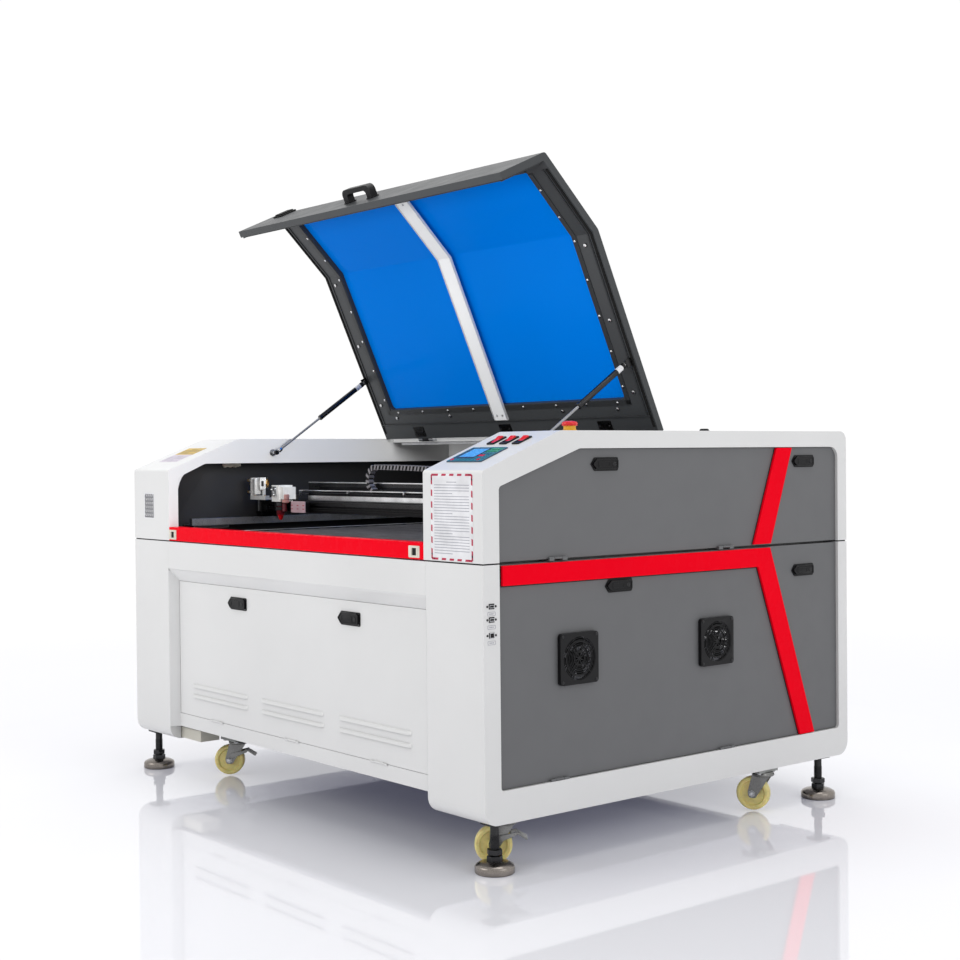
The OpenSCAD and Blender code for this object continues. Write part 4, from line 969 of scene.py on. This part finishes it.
strut_foot = Vector((676, -332, 1094))
strut_head = Vector([c / MM for c in joints["right_strut_pivot"]["pos_m"]])
strut_dir = (strut_head - strut_foot).normalized()
strut_len = (strut_head - strut_foot).length
for side, turn in (("right", Matrix()), ("left", mirrored)):
    def along(distance):
        """A frame on the strut's axis with local Z towards the lid."""
        return turn @ placed(strut_foot + strut_dir * distance, (1, 0, 0), strut_dir.cross(Vector((1, 0, 0))))

    mouth = strut_len - 16 - 222
    bm = bmesh.new()
    turned(bm, [(4.3, mouth - 3), (8.2, mouth - 3), (9.4, mouth - 1.5), (9.6, mouth + 6), (9.3, mouth + 8), (4.3, mouth + 8)], along(0), 40)
    turned(bm, [(8.6, strut_len - 22), (9.5, strut_len - 22), (9.5, strut_len - 17), (7, strut_len - 14), (5.2, strut_len - 14)], along(0), 40)
    part(f"{side}_strut_end_sleeves", bm, f"{side}_strut_tube", black_steel, 0)
    bm = bmesh.new()
    turned(bm, [(8.8, strut_len - 52), (9.12, strut_len - 52), (9.12, strut_len - 28), (8.8, strut_len - 28)], along(0), 40)
    part(f"{side}_strut_label_band", bm, f"{side}_strut_tube", paper)
    bm = bmesh.new()
    turned(bm, [(5.1, strut_len - 21), (7.4, strut_len - 21), (7.8, strut_len - 19), (7.8, strut_len - 10), (6.6, strut_len - 7), (5.1, strut_len - 7)], along(0), 6)
    part(f"{side}_strut_head_nut", bm, f"{side}_strut_tube", bright_steel, 0.5)
    bm = bmesh.new()
    turned(bm, [(4.1, 10), (7.2, 10), (7.8, 12), (7.8, 22), (6, 25), (4.1, 25)], along(0), 6)
    part(f"{side}_strut_foot_nut", bm, f"{side}_strut_rod", bright_steel, 0.5)
    bm = bmesh.new()
    pin = turn @ placed((0, strut_foot.y, strut_foot.z), (0, 1, 0), (0, 0, 1))
    turned(bm, [(0, INNER_X - 3), (9, INNER_X - 3), (10, INNER_X - 4.5), (10, INNER_X - 8), (6.3, INNER_X - 8), (6.3, INNER_X - 14), (0, INNER_X - 14)], pin, 6)
    part(f"{side}_strut_stud_nut", bm, "cabinet", zinc, 0.4)


# Casters: race, plate bolts, axle nuts, brake pedals on the front pair

for name in ("front_left", "front_right", "rear_left", "rear_right"):
    swivel = Vector(joints[f"{name}_swivel"]["pos_m"]) / MM
    axle = Vector(joints[f"{name}_wheel_spin"]["pos_m"]) / MM
    trail = Vector((axle.x - swivel.x, axle.y - swivel.y, 0)).normalized()
    across = Vector((-trail.y, trail.x, 0))
    own = placed((swivel.x, swivel.y, 0), trail, across)
    bm = bmesh.new()
    turned(bm, [(22, 118), (31, 118), (33.5, 115.5), (33.5, 112), (31, 109.5), (22, 109.5)], own, 48)
    turned(bm, [(0, 106), (7.5, 106), (8.5, 107), (8.5, 110), (0, 110)], own, 6)
    part(f"{name}_swivel_race", bm, f"{name}_fork", fork_steel, 0.4)
    bm = bmesh.new()
    for s in (-1, 1):
        hub = own @ placed((30, s * 20, axle.z), (0, 0, 1), (s, 0, 0))
        turned(bm, [(0, 8), (7, 8), (8.2, 7), (8.2, 1), (11, 1), (11, 0), (0, 0)], hub, 6)
        turned(bm, [(0, 10.5), (4.2, 10.5), (5, 9.6), (5, 7), (0, 7)], hub, 24)
    part(f"{name}_axle_nuts", bm, f"{name}_fork", zinc, 0.4)
    bm = bmesh.new()
    plate_x = min(HX - 2 - 10, swivel.x + 36) - swivel.x
    for dx in (-36, plate_x):
        for dy in (-31, 31):
            bolt = placed((swivel.x + dx, swivel.y + dy, 122), (1, 0, 0), (0, -1, 0))
            turned(bm, [(0, 5), (6, 5), (7, 4), (7, 0.8), (9, 0.8), (9, 0), (0, 0)], bolt, 6)
    part(f"{name}_plate_bolts", bm, "cabinet", zinc, 0.3)
    if name.startswith("front"):
        bm = bmesh.new()
        profile = [(-28, 92), (-34, 88), (-58, 74), (-60, 70), (-57, 68.5), (-33, 84), (-28, 87)]
        low_row = [own @ Vector((x, -19, z)) for x, z in profile]
        high_row = [own @ Vector((x, 19, z)) for x, z in profile]
        loft(bm, [low_row, high_row])
        for s in (-1, 1):
            loft(bm, [[own @ Vector((x, s * 21.5 + w, z)) for x, z in ((-32, 90), (26, 78), (38, 62), (38, 56), (22, 60), (-32, 82))]
                      for w in (-1.2, 1.2)])
        part(f"{name}_brake_pedal", bm, f"{name}_fork", fork_steel, 0.6)

# Gantry: bright rail and screws, chain of real links, hoses, motor, end plates

BEAM_Y, BEAM_TOP = -348.0, 930.0
paint_faces("gantry_beam", black_steel, lambda p: p.y < BEAM_Y - 0.5 and 911 < p.z < 927 and abs(p.x) < 691)
paint_faces("laser_head", black_steel, lambda p: p.y > BEAM_Y - 17 and p.z < 951)
paint_faces("laser_head", lens_red, lambda p: p.z < 925 and p.y < BEAM_Y - 17)
paint_faces("honeycomb_table", black_steel, lambda p: p.z > 826 or p.z < 816)
paint_faces("control_panel", black_plastic, lambda p: p.y > -600)
paint_faces("levelling_feet", black_steel, lambda p: p.z > 31.5)
paint_faces("fixed_pivots", grey_paint, lambda p: abs(p.x) > 900)
paint_faces("welded_frame", warm_paint, lambda p: p.x < -579 and p.y < -627 and p.z < 172)
for stand in ("left_stand", "right_stand"):
    paint_faces(stand, grey_paint, lambda p: abs(p.x) > 943.5 and 214.2 < p.z < 223 and abs(abs(p.y + 150) - 330) < 33)
paint_faces("left_strut_rod", black_steel, lambda p: abs(p.y + 332) < 8.5 and abs(p.z - 1094) < 8.5)
paint_faces("right_strut_rod", black_steel, lambda p: abs(p.y + 332) < 8.5 and abs(p.z - 1094) < 8.5)

bm = bmesh.new()
block(bm, (-480, -330, 931), (700, -328.6, 946))
block(bm, (-545, -319, 961), (700, -317, 964.5))
block(bm, (-545, -285.5, 988), (700, -283.5, 991.5))
for x in (-540, -250, 60, 370, 690):
    block(bm, (x - 2, -328, 946), (x + 2, -317.5, 964))
part("tray_edges", bm, "gantry", aluminium, 0.3)
bm = bmesh.new()
block(bm, (-545, -284, 952), (700, -282.6, 990))
block(bm, (-545, -328, 950), (-480, -283, 951.6))
part("tray_back", bm, "gantry", black_steel, 0.3)
screws("gantry_rail_screws", [on_front(-660 + 60 * k, BEAM_Y - 5.2, 919) for k in range(23)], "gantry", 2.6, 0.7, black_steel)
bm = bmesh.new()
for x in (-1, 1):
    m = placed((x * 765, BEAM_Y + 20, 909), (0, x, 0), (0, 0, 1))
    prism(bm, rectangle(-25, -24, 25, 24, 3, 4), 0, 5, m)
    for dy in (-15, 15):
        for dz in (-15, 15):
            pan_head(bm, m @ Matrix.Translation((dy, dz, 5)), 3.6, 2.2)
part("gantry_end_plates", bm, "gantry", aluminium, 0.6)
bm = bmesh.new()
for z0, z1 in ((897, 899.5), (903.5, 906)):
    block(bm, (-700, BEAM_Y - 9, z0), (700, BEAM_Y - 7.6, z1))
for x in (-706, 706):
    turned(bm, [(0, 0), (11, 0), (11, 1.2), (9.2, 1.6), (9.2, 8.4), (11, 8.8), (11, 10), (0, 10)],
           placed((x, BEAM_Y - 3, 901.5), (1, 0, 0), (0, 0, 1)), 32)
part("gantry_belt", bm, "gantry", soft_black)
bm = bmesh.new()
motor = placed((706, BEAM_Y + 42, 905), (1, 0, 0), (0, 0, 1))
prism(bm, rectangle(-20, -20, 20, 20, 4, 4), -36, 0, motor)
prism(bm, rectangle(-20.5, -20.5, 20.5, 20.5, 4, 4), -8, -2, motor)
turned(bm, [(0, 3), (10, 3), (11, 2), (11, 0), (0, 0)], motor, 32)
part("gantry_motor", bm, "gantry", black_steel, 0.6)

# The cable chain's centre line: lower run on the tray, half turn, upper run that sags to the right
CHAIN_Y, CHAIN_R, CHAIN_LOW, BEND_X, PITCH = BEAM_Y + 44, 40.0, BEAM_TOP + 32, -114.0, 18.0


def chain_point(s):
    """(x, z, angle) at a distance s along the chain."""
    if s < 420:
        return BEND_X + 420 - s, CHAIN_LOW, math.pi
    s -= 420
    if s < math.pi * CHAIN_R:
        a = s / CHAIN_R
        return BEND_X - CHAIN_R * math.sin(a), CHAIN_LOW + CHAIN_R - CHAIN_R * math.cos(a), math.pi - a
    t = (s - math.pi * CHAIN_R) / 620
    return BEND_X + t * 620, CHAIN_LOW + 2 * CHAIN_R - 26 * t * t, math.atan2(-52 * t, 620)


bm, covers = bmesh.new(), bmesh.new()
count = int((420 + math.pi * CHAIN_R + 620) / PITCH)
for k in range(count):
    x, z, angle = chain_point(PITCH * (k + 0.5))
    m = placed((x, CHAIN_Y, z), (math.cos(angle), 0, math.sin(angle)), (-math.sin(angle), 0, math.cos(angle)))
    wide = 0.9 if k % 2 else 0.0
    for side in (-1, 1):
        y = side * 8.2
        plate = rounded([(-12, -5, 4), (-4, -7.2, 3), (4, -7.2, 3), (12, -5, 4), (12, 5, 4), (-12, 5, 4)], 3)
        prism(bm, plate, y - 0.8 + side * wide, y + 0.8 + side * wide, m)
        turned(bm, [(0, side * 2.1), (2.6, side * 2.1), (3, side * 1.6), (3, 0), (0, 0)],
               m @ Matrix.Translation((-9, 0, y + side * (0.4 + wide))), 12)
        edge = side * (9.2 + wide)
        if k * PITCH > 420:
            prism(covers, [(-7, -8.6), (1, -8.6), (6, 8.6), (-2, 8.6)], min(edge, edge + side), max(edge, edge + side), m)
    for v in (-7.6, 6.4):
        prism(covers if k * PITCH > 420 else bm, rectangle(-5, v, 5, v + 1.6, 0.6, 2), -9, 9, m)
part("chain_link_covers", covers, "gantry", chain_plastic, 0.25)
chain = part("cable_chain", bm, "gantry", soft_black, 0.25)
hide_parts("drag_chain")
bm = bmesh.new()
tube(bm, [(x, CHAIN_Y - 3, z) for x, z, _ in (chain_point(8 + 12 * k) for k in range(96))], 2.6, 8)
tube(bm, [(x, CHAIN_Y + 3, z) for x, z, _ in (chain_point(8 + 12 * k) for k in range(96))], 2.2, 8)
part("chain_cables", bm, "gantry", soft_black)
x_end, z_end, _ = chain_point(420 + math.pi * CHAIN_R + 600)
bm = bmesh.new()
block(bm, (x_end - 4, CHAIN_Y - 12, BEAM_TOP + 46), (x_end + 22, CHAIN_Y + 12, BEAM_TOP + 49))
block(bm, (x_end + 14, CHAIN_Y - 12, BEAM_TOP + 49), (x_end + 17, CHAIN_Y + 12, z_end + 10))
block(bm, (x_end - 4, CHAIN_Y - 12, z_end - 10), (x_end + 17, CHAIN_Y + 12, z_end - 7.6))
part("chain_end_bracket", bm, "gantry", zinc, 0.4)

# Laser head: mirror clamp, focus ring, label block, air nozzle and hose
HEAD = Vector((-545, BEAM_Y - 52, 0))
bm = bmesh.new()
turned(bm, [(0, 864), (4.6, 864), (5.4, 866), (10.4, 880), (11.2, 882), (12.2, 883), (12.2, 890), (11, 891.5), (0, 891.5)],
       Matrix.Translation(HEAD), 48)
part("head_nozzle", bm, "laser_head", red_plastic, 0.3)
bm = bmesh.new()
rows = 40
ring(bm, [((17.4 + 0.6 * (k % 2)) * math.cos(math.pi * k / rows), (17.4 + 0.6 * (k % 2)) * math.sin(math.pi * k / rows)) for k in range(2 * rows)],
     circle(13.9, 2 * rows), 897, 908, Matrix.Translation(HEAD))
turned(bm, [(14, 911), (19, 911), (20, 912), (20, 924), (19, 925), (14, 925)], Matrix.Translation(HEAD), 48)
part("head_focus_rings", bm, "laser_head", black_steel, 0.2)
bm = bmesh.new()
prism(bm, rectangle(-43, -19, 43, 19, 2, 3), 0, 3, on_front(HEAD.x + 91, HEAD.y + 14, 909))
for dx, dz in ((-38, 14), (38, 14), (-38, -14), (38, -14)):
    pan_head(bm, on_front(HEAD.x + 91 + dx, HEAD.y + 11, 909 + dz), 2.6, 1.6)
part("head_side_plate", bm, "laser_head", pink_label, 0.3)
bm = bmesh.new()
block(bm, (HEAD.x + 20, HEAD.y + 14.2, 892), (HEAD.x + 134, HEAD.y + 30, 927))
block(bm, (HEAD.x - 60, HEAD.y + 26, 884), (HEAD.x + 48, HEAD.y + 37, 926))
part("head_carriage_block", bm, "laser_head", black_steel, 1.2)
bm = bmesh.new()
for x0, x1 in ((HEAD.x + 49, HEAD.x + 60), (HEAD.x + 84, HEAD.x + 95), (HEAD.x + 119, HEAD.x + 130)):
    block(bm, (x0, HEAD.y + 10.6, 901), (x1, HEAD.y + 10.95, 903.5))
    block(bm, (x0, HEAD.y + 10.6, 913), (x1, HEAD.y + 10.95, 915.5))
part("head_plate_marks", bm, "laser_head", red_ink)
bm = bmesh.new()
m = on_front(HEAD.x - 4, HEAD.y - 20, BEAM_TOP + 32)
ring(bm, rectangle(-14, -16, 14, 16, 3, 11), circle(9, 48)[30:] + circle(9, 48)[:30], 0, 5, m)
turned(bm, [(0, 1.6), (8.8, 1.6), (8.8, 0), (0, 0)], m, 48)
for a in (0.6, 2.7, 4.8):
    turned(bm, [(0, 9), (2.2, 9), (2.8, 8), (2.8, 0), (0, 0)], m @ Matrix.Translation((12.5 * math.cos(a), 12.5 * math.sin(a), 0)), 16)
part("head_mirror_cell", bm, "laser_head", aluminium, 0.3)
bm = bmesh.new()
turned(bm, [(0, 922), (10, 922), (12.6, 924), (12.6, 930), (10.6, 932), (12.6, 934), (12.6, 948), (11, 951), (0, 951)],
       Matrix.Translation((HEAD.x + 34, HEAD.y - 1, 0)), 48)
part("head_lens_holder", bm, "laser_head", lens_pink, 0.2)
bm = bmesh.new()
turned(bm, [(0, 893), (8, 893), (8, 921), (0, 921)], Matrix.Translation((HEAD.x + 26, HEAD.y - 1, 0)), 32)
part("head_guide_pin", bm, "laser_head", lens_red, 0.2)
bm = bmesh.new()
tube(bm, curve_through([(HEAD.x - 12, HEAD.y - 2, 900), (HEAD.x - 24, HEAD.y, 901), (HEAD.x - 32, HEAD.y + 10, 906),
                        (HEAD.x - 34, HEAD.y + 22, 918), (HEAD.x - 34, HEAD.y + 34, 922)]), 3.0, 12)
part("head_air_hose", bm, "laser_head", soft_black)
bm = bmesh.new()
for x, z in ((-12, 905), (-12, 896), (12, 918)):
    block(bm, (HEAD.x - 45, BEAM_Y - 19, z), (HEAD.x - 20, BEAM_Y - 16, z + 4))
for dx in (-34, 34):
    for z in (890, 942):
        pan_head(bm, on_front(HEAD.x + dx, BEAM_Y - 16, z), 4, 2.4)
part("head_carriage_screws", bm, "laser_head", bright_steel, 0.2)

# First mirror mount: knurled brass adjusters, springs and the mirror
bm = bmesh.new()
for y, z, r in ((-393, 956, 4.6), (-385, 984, 3.2), (-393, 997, 4.6)):
    knurl = [((r + 0.4 * (k % 2)) * math.cos(math.pi * k / 20), (r + 0.4 * (k % 2)) * math.sin(math.pi * k / 20)) for k in range(40)]
    ring(bm, knurl, circle(2.2, 40), 0, 8, placed((-760, y, z), (0, -1, 0), (0, 0, 1)))
part("mirror_adjusters", bm, "gantry", brass, 0.2)
bm = bmesh.new()
for z in (968, 990):
    coil = [(-738 + 17 * t / 60, -384 + 3.2 * math.cos(0.7 * t), z + 3.2 * math.sin(0.7 * t)) for t in range(61)]
    tube(bm, coil, 0.7, 6)
part("mirror_springs", bm, "gantry", bright_steel)
holder = placed((-701, BEAM_Y - 22, 986), (0.7071, 0.7071, 0), (-0.7071, 0.7071, 0))
bm = bmesh.new()
prism(bm, rectangle(-11, -18, 11, 18, 2.5, 4), -21, 21, holder)
window = placed(holder @ Vector((0, -18, 0)), (0.7071, 0.7071, 0), (0, 0, 1))
ring(bm, rectangle(-9, -18, 9, 18, 2, 4), rectangle(-4.5, -10, 4.5, 9, 1.5, 4), 0, 2.4, window)
for dz in (-14, 14):
    pan_head(bm, window @ Matrix.Translation((0, dz, 2.4)), 2.4, 1.6)
part("mirror_holder", bm, "gantry", aluminium, 0.4)
bm = bmesh.new()
block(bm, (-4.5, -10, 0.1), (4.5, 9, 0.7), window)
part("mirror_holder_window", bm, "gantry", black_steel)
bm = bmesh.new()
m = placed(holder @ Vector((11, 0, 0)), (-0.7071, 0.7071, 0), (0, 0, 1))
ring(bm, circle(16, 48), circle(11, 48), 0, 4, m)
turned(bm, [(0, 1), (11, 1), (11, 0), (0, 0)], m, 48)
part("mirror_cell", bm, "gantry", brass, 0.3)
screws("mirror_base_screws", [placed((x, -389, BEAM_TOP + 14), (1, 0, 0), (0, 1, 0)) for x in (-728, -662)],
       "gantry", 4, 2.6, brass)

# Table: honeycomb of expanded foil strips, and a ruled scale on the left side
CELL = 14.0
bm = bmesh.new()
table_x, table_front, table_rear, table_bar = 650.0, -560.0, 340.0, 30.0
x0, x1 = table_bar + 1 - table_x, table_x - table_bar - 1
y0, y1 = table_front + table_bar + 1, table_rear - table_bar - 1
tall = CELL * math.sin(math.pi / 3)
strips = int((x1 - x0) / tall)
for strip in range(strips):
    x_left = x0 + strip * tall
    points, y, level = [], y0, strip % 2
    while y < y1 - CELL:
        points.append((x_left + 0.45 + level * (tall - 0.9), y))
        y += CELL if len(points) % 2 else CELL / 2
        if len(points) % 2 == 0:
            level = 1 - level
    rows = [[bm.verts.new((x + dx, y, z)) for dx, z in ((-0.3, 815.4), (0.3, 815.4), (0.3, 824.5), (-0.3, 824.5))] for x, y in points]
    for a, b in zip(rows, rows[1:]):
        for k in range(4):
            j = (k + 1) % 4
            bm.faces.new((a[k], a[j], b[j], b[k]))
    bm.faces.new(rows[0][::-1])
    bm.faces.new(rows[-1])
part("honeycomb_cells", bm, "table", comb_metal)
bm = bmesh.new()
prism(bm, rectangle(3 - table_x, -520, 26 - table_x, 300, 2, 3), 827, 828)
part("table_scale", bm, "table", paper, 0.2)
bm = bmesh.new()
for k in range(81):
    y = -510 + 10 * k
    block(bm, (4 - table_x, y - 0.5, 828), ((16 if k % 5 == 0 else 10) - table_x, y + 0.5, 828.25))
part("table_scale_marks", bm, "table", dark_ink)
screws("table_corner_screws", [placed((x, y, 827), (1, 0, 0), (0, 1, 0)) for x in (15 - table_x, table_x - 15)
                               for y in (table_front + 15, table_rear - 15)], "table", 6, 3, bright_steel)
bm = bmesh.new()
for x in (-672, 672):
    for y in (-540, 320):
        turned(bm, [(10.2, 775), (17, 775), (18, 774), (18, 768), (17, 767), (10.2, 767)], Matrix.Translation((x, y, 0)), 6)
part("lift_nuts", bm, "table", brass, 0.5)
bm = bmesh.new()
for x in (-672, 672):
    for y in (-540, 320):
        profile = [(9.0, 560)]
        for k in range(48):
            z = 560 + 5 * k
            profile += [(10.0, z + 0.6), (10.45, z + 1.4), (10.45, z + 2.8), (10.0, z + 3.6)]
        turned(bm, profile + [(9.0, 803)], Matrix.Translation((x, y, 0)), 16)
part("lift_screw_threads", bm, "cabinet", bright_steel)

# Tub: limit switch under the band, cable trunk, light strip under the front of the deck
bm = bmesh.new()
m = placed((-787.5, -452, 1052), (0, 1, 0), (0, 0, 1))
prism(bm, rectangle(-32, -5, 32, 6, 2, 3), 0, 16, m)
for k in range(6):
    prism(bm, rectangle(-30 + 10 * k, -9 + 2 * (k % 2), -23 + 10 * k, -5, 1, 2), 3, 12, m)
part("limit_switch", bm, "cabinet", cream_plastic, 0.4)
bm = bmesh.new()
block(bm, (-788, -560, 684), (-776, 430, 708))
for k in range(32):
    block(bm, (-776, -545 + 30 * k, 686), (-774.6, -531 + 30 * k, 706))
part("cable_trunking", bm, "cabinet", chain_plastic, 0.5)
sheet_label("tub_plate", placed((-787.8, -531, 842), (0, 1, 0), (0, 0, 1)), 140, 19, "cabinet", paper)
bm = bmesh.new()
block(bm, (-660, 202, 1118), (660, 209, 1127))
for k in range(44):
    block(bm, (-652 + 30 * k, 200.4, 1120), (-640 + 30 * k, 202, 1125))
part("work_light_strip", bm, "cabinet", paper, 0.3)
screws("rail_screws", [placed((s * 735, -610 + 70 * k, 870), (1, 0, 0), (0, 1, 0)) for s in (-1, 1) for k in range(15)],
       "cabinet", 3.4, 0.35, black_steel)

bm = bmesh.new()
block(bm, (-702, 458, 1058), (702, 460, 1138))
block(bm, (-702, 451, 1058), (702, 458, 1060))
part("rear_inner_band", bm, "cabinet", white_paint, 0.5)

# Top and rear: cable gland, deck screws, vents with hoods, inlet, hose tails, blank rating plate
bm = bmesh.new()
m = Matrix.Translation((822, 228, TOP))
turned(bm, [(0, 9), (10, 9), (13, 7.5), (14, 5), (14, 0), (0, 0)], m, 32)
ring(bm, circle(17, 48), circle(13.5, 48), 0, 3, m)
part("top_cap", bm, "cabinet", black_plastic, 0.5)
screws("deck_screws", [placed((x, y, TOP), (1, 0, 0), (0, 1, 0)) for x in (-660, -330, 0, 330, 660) for y in (230, 690)], "cabinet", 5, 2.4)
bm = bmesh.new()
for side in (-1, 1):
    for k in range(8):
        z = 424 + 24 * k
        sheet = [(0, 9), (2.6, 8), (6, 1), (6, -3), (5, -3), (4.9, 0.6), (2, 6.2), (0, 7.4)]
        loft(bm, [[(side * 440 + dx, HY + y * scale, z + h) for y, h in sheet]
                  for dx, scale in ((-114, 0.12), (-104, 1), (104, 1), (114, 0.12))])
part("rear_vent_hoods", bm, "cabinet", white_paint, 0, 50)
screws("rear_panel_screws", [on_back(x, HY, z) for x in (-690, -345, 0, 345, 690) for z in (205, 780)]
       + [on_back(x, HY, z) for x in (-690, 690) for z in (400, 590)], "cabinet", 4.6, 2.6)
bm = bmesh.new()
m = placed((0, HY, 560), (-1, 0, 0), (0, 0, 1))
ring(bm, circle(96, 96), circle(76, 96), 0, 4, m)
for k in range(6):
    a = math.pi * k / 3 + 0.3
    pan_head(bm, m @ Matrix.Translation((87 * math.cos(a), 87 * math.sin(a), 4)), 4.5, 2.6)
part("exhaust_flange", bm, "cabinet", zinc, 0.8)
bm, dark_bm, brass_bm = bmesh.new(), bmesh.new(), bmesh.new()
m = on_back(-600, HY, 300)
ring(bm, rectangle(-30, -24, 30, 24, 4, 4), rectangle(-14, -10, 14, 10, 2, 4), 0, 5, m)
block(dark_bm, (-14, -10, 0), (14, 10, 0.6), m)
for dx in (-8, 0, 8):
    block(brass_bm, (dx - 1, -3, 0.6), (dx + 1, 4, 4), m)
m = on_back(-600, HY, 360)
ring(bm, rectangle(-20, -15, 20, 15, 3, 4), rectangle(-13, -10, 13, 10, 2, 4), 0, 4, m)
prism(dark_bm, rectangle(-13, -10, 13, 10, 2, 4), 0, 3, m)
part("inlet_shells", bm, "cabinet", black_plastic, 0.6)
part("inlet_recesses", dark_bm, "cabinet", soft_black, 0.3)
for x, z in ((560, 300), (600, 300), (640, 300)):
    m = on_back(x, HY, z)
    turned(brass_bm, [(0, 3), (13, 3), (13, 0), (0, 0)], m, 6)
    turned(brass_bm, [(0, 3), (7, 3), (7, 12), (8, 13), (6, 18), (7.4, 19), (5.6, 24), (7, 25), (5.4, 30), (0, 30)], m, 24)
part("rear_fittings", brass_bm, "cabinet", brass, 0.2)
sheet_label("rating_plate", on_back(-450, HY, 700), 120, 70, "cabinet", paper, 7, dark_ink)

# Underside: gussets at the corners of the welded frame
bm = bmesh.new()
for sx in (-1, 1):
    prism(bm, [(sx * 890, 648), (sx * 820, 648), (sx * 890, 570)], 134, 140)
part("frame_gussets", bm, "cabinet", frame_paint, 0.5)


# ---------------------------------------------------------------- stage, light and camera


def floor_material():
    """Polished white floor: a clear mirror image over white, blending into the backdrop away from the machine."""
    n = Nodes("studio_floor", 0.04, 0, (0.9, 0.9, 0.9))
    # Painted light: a faint blue glow over the floor, so the shadow under the machine reads bluish.
    n.set(ior=2.2, emission_color=(0.75, 0.78, 1.25, 1), emission_strength=0.06)
    n.colour(n.mix(n.ramp(n.noise(0.7, 3), 0.3, 0.7, 0, 1), (0.83, 0.83, 0.835), (0.855, 0.855, 0.86)))
    n.rough(n.ramp(n.noise(2, 3), 0.3, 0.7, 0.03, 0.05))
    far = n.add("ShaderNodeVectorMath", operation="LENGTH")
    n.link(n.coords, far.inputs[0])
    sweep = n.add("ShaderNodeEmission")
    sweep.inputs["Strength"].default_value = 1.02
    blend = n.add("ShaderNodeMixShader")
    n.link(n.ramp(far.outputs["Value"], 2.2, 5.5, 0, 1), blend.inputs[0])
    n.link(n.shader.outputs[0], blend.inputs[1])
    n.link(sweep.outputs[0], blend.inputs[2])
    n.link(blend.outputs[0], n.output.inputs["Surface"])
    return n.material


floor_mesh = bpy.data.meshes.new("floor")
reach = 40
floor_mesh.from_pydata([(-reach, -reach, 0), (reach, -reach, 0), (reach, reach, 0), (-reach, reach, 0)], [], [(0, 1, 2, 3)])
floor = bpy.data.objects.new("floor", floor_mesh)
floor_mesh.materials.append(floor_material())
bpy.context.scene.collection.objects.link(floor)


def area_light(name, place, target, width, height, power, colour=(1, 1, 1), only=()):
    """A soft box; when object names are given it lights only those objects."""
    light = bpy.data.lights.new(name, "AREA")
    light.shape = "RECTANGLE"
    light.size, light.size_y = width, height
    light.energy = power
    light.color = colour
    obj = bpy.data.objects.new(name, light)
    obj.matrix_world = Matrix.Translation(place) @ (Vector(place) - Vector(target)).to_track_quat("Z", "Y").to_matrix().to_4x4()
    bpy.context.scene.collection.objects.link(obj)
    if only:
        lit = bpy.data.collections.new(f"{name}_lit")
        for target_name in only:
            lit.objects.link(bpy.data.objects[target_name])
        obj.light_linking.receiver_collection = lit


area_light("key", (-1.6, -5.4, 3.6), (0, -0.6, 0.7), 3.6, 2.6, 78, (1.0, 0.995, 0.985))
area_light("side", (5.6, 0.6, 2.8), (0, 0, 0.8), 3.0, 2.6, 30, (0.97, 0.985, 1.0))
area_light("top", (0.2, 0.4, 5.4), (0, 0, 0.9), 4.5, 3.4, 125)
area_light("lid_fill", (1.8, -4.6, 0.9), (0, 0, 1.6), 2.4, 1.6, 115,
           only=[n for n in nodes if n.startswith("lid_") and n != "lid_screws"] + ["rear_deck", "rear_inner_band"])
area_light("wall_fill", (5.0, -0.9, 2.0), (-0.79, -0.1, 1.05), 1.6, 1.2, 175,
           only=["left_housing", "mirror_mount", "mirror_holder", "laser_head", "head_mirror_cell"])

# An even white room: camera and mirror rays see pure white, diffuse light is a little weaker
world = bpy.data.worlds.new("studio")
bpy.context.scene.world = world
world.use_nodes = True
tree = world.node_tree
background = tree.nodes["Background"]
background.inputs["Color"].default_value = (0.985, 0.99, 1.0, 1)
background.inputs["Strength"].default_value = 0.7
white = tree.nodes.new("ShaderNodeBackground")
white.inputs["Color"].default_value = (1, 1, 1, 1)
white.inputs["Strength"].default_value = 1.02
path = tree.nodes.new("ShaderNodeLightPath")
seen = tree.nodes.new("ShaderNodeMath")
seen.operation = "MAXIMUM"
chooser = tree.nodes.new("ShaderNodeMixShader")
tree.links.new(path.outputs["Is Camera Ray"], seen.inputs[0])
tree.links.new(path.outputs["Is Glossy Ray"], seen.inputs[1])
tree.links.new(seen.outputs[0], chooser.inputs[0])
tree.links.new(background.outputs[0], chooser.inputs[1])
tree.links.new(white.outputs[0], chooser.inputs[2])
tree.links.new(chooser.outputs[0], tree.nodes["World Output"].inputs["Surface"])

yaw, pitch, roll = (math.radians(a) for a in (50.57, -0.93, -0.54))
ahead = Vector((-math.sin(yaw) * math.cos(pitch), math.cos(yaw) * math.cos(pitch), math.sin(pitch)))
right = Vector((math.cos(yaw), math.sin(yaw), 0))
up = right.cross(ahead)
camera_right = right * math.cos(roll) + up * math.sin(roll)
camera_up = up * math.cos(roll) - right * math.sin(roll)
camera_data = bpy.data.cameras.new("camera")
camera_data.lens = 58.04
camera_data.sensor_width = 36
camera = bpy.data.objects.new("camera", camera_data)
pose = Matrix((camera_right, camera_up, -ahead)).transposed().to_4x4()
pose.translation = (3.9698, -3.2298, 1.079)
camera.matrix_world = pose
bpy.context.scene.collection.objects.link(camera)
bpy.context.scene.camera = camera
bpy.context.scene.view_settings.view_transform = "Standard"
bpy.context.scene.cycles.use_denoising = True
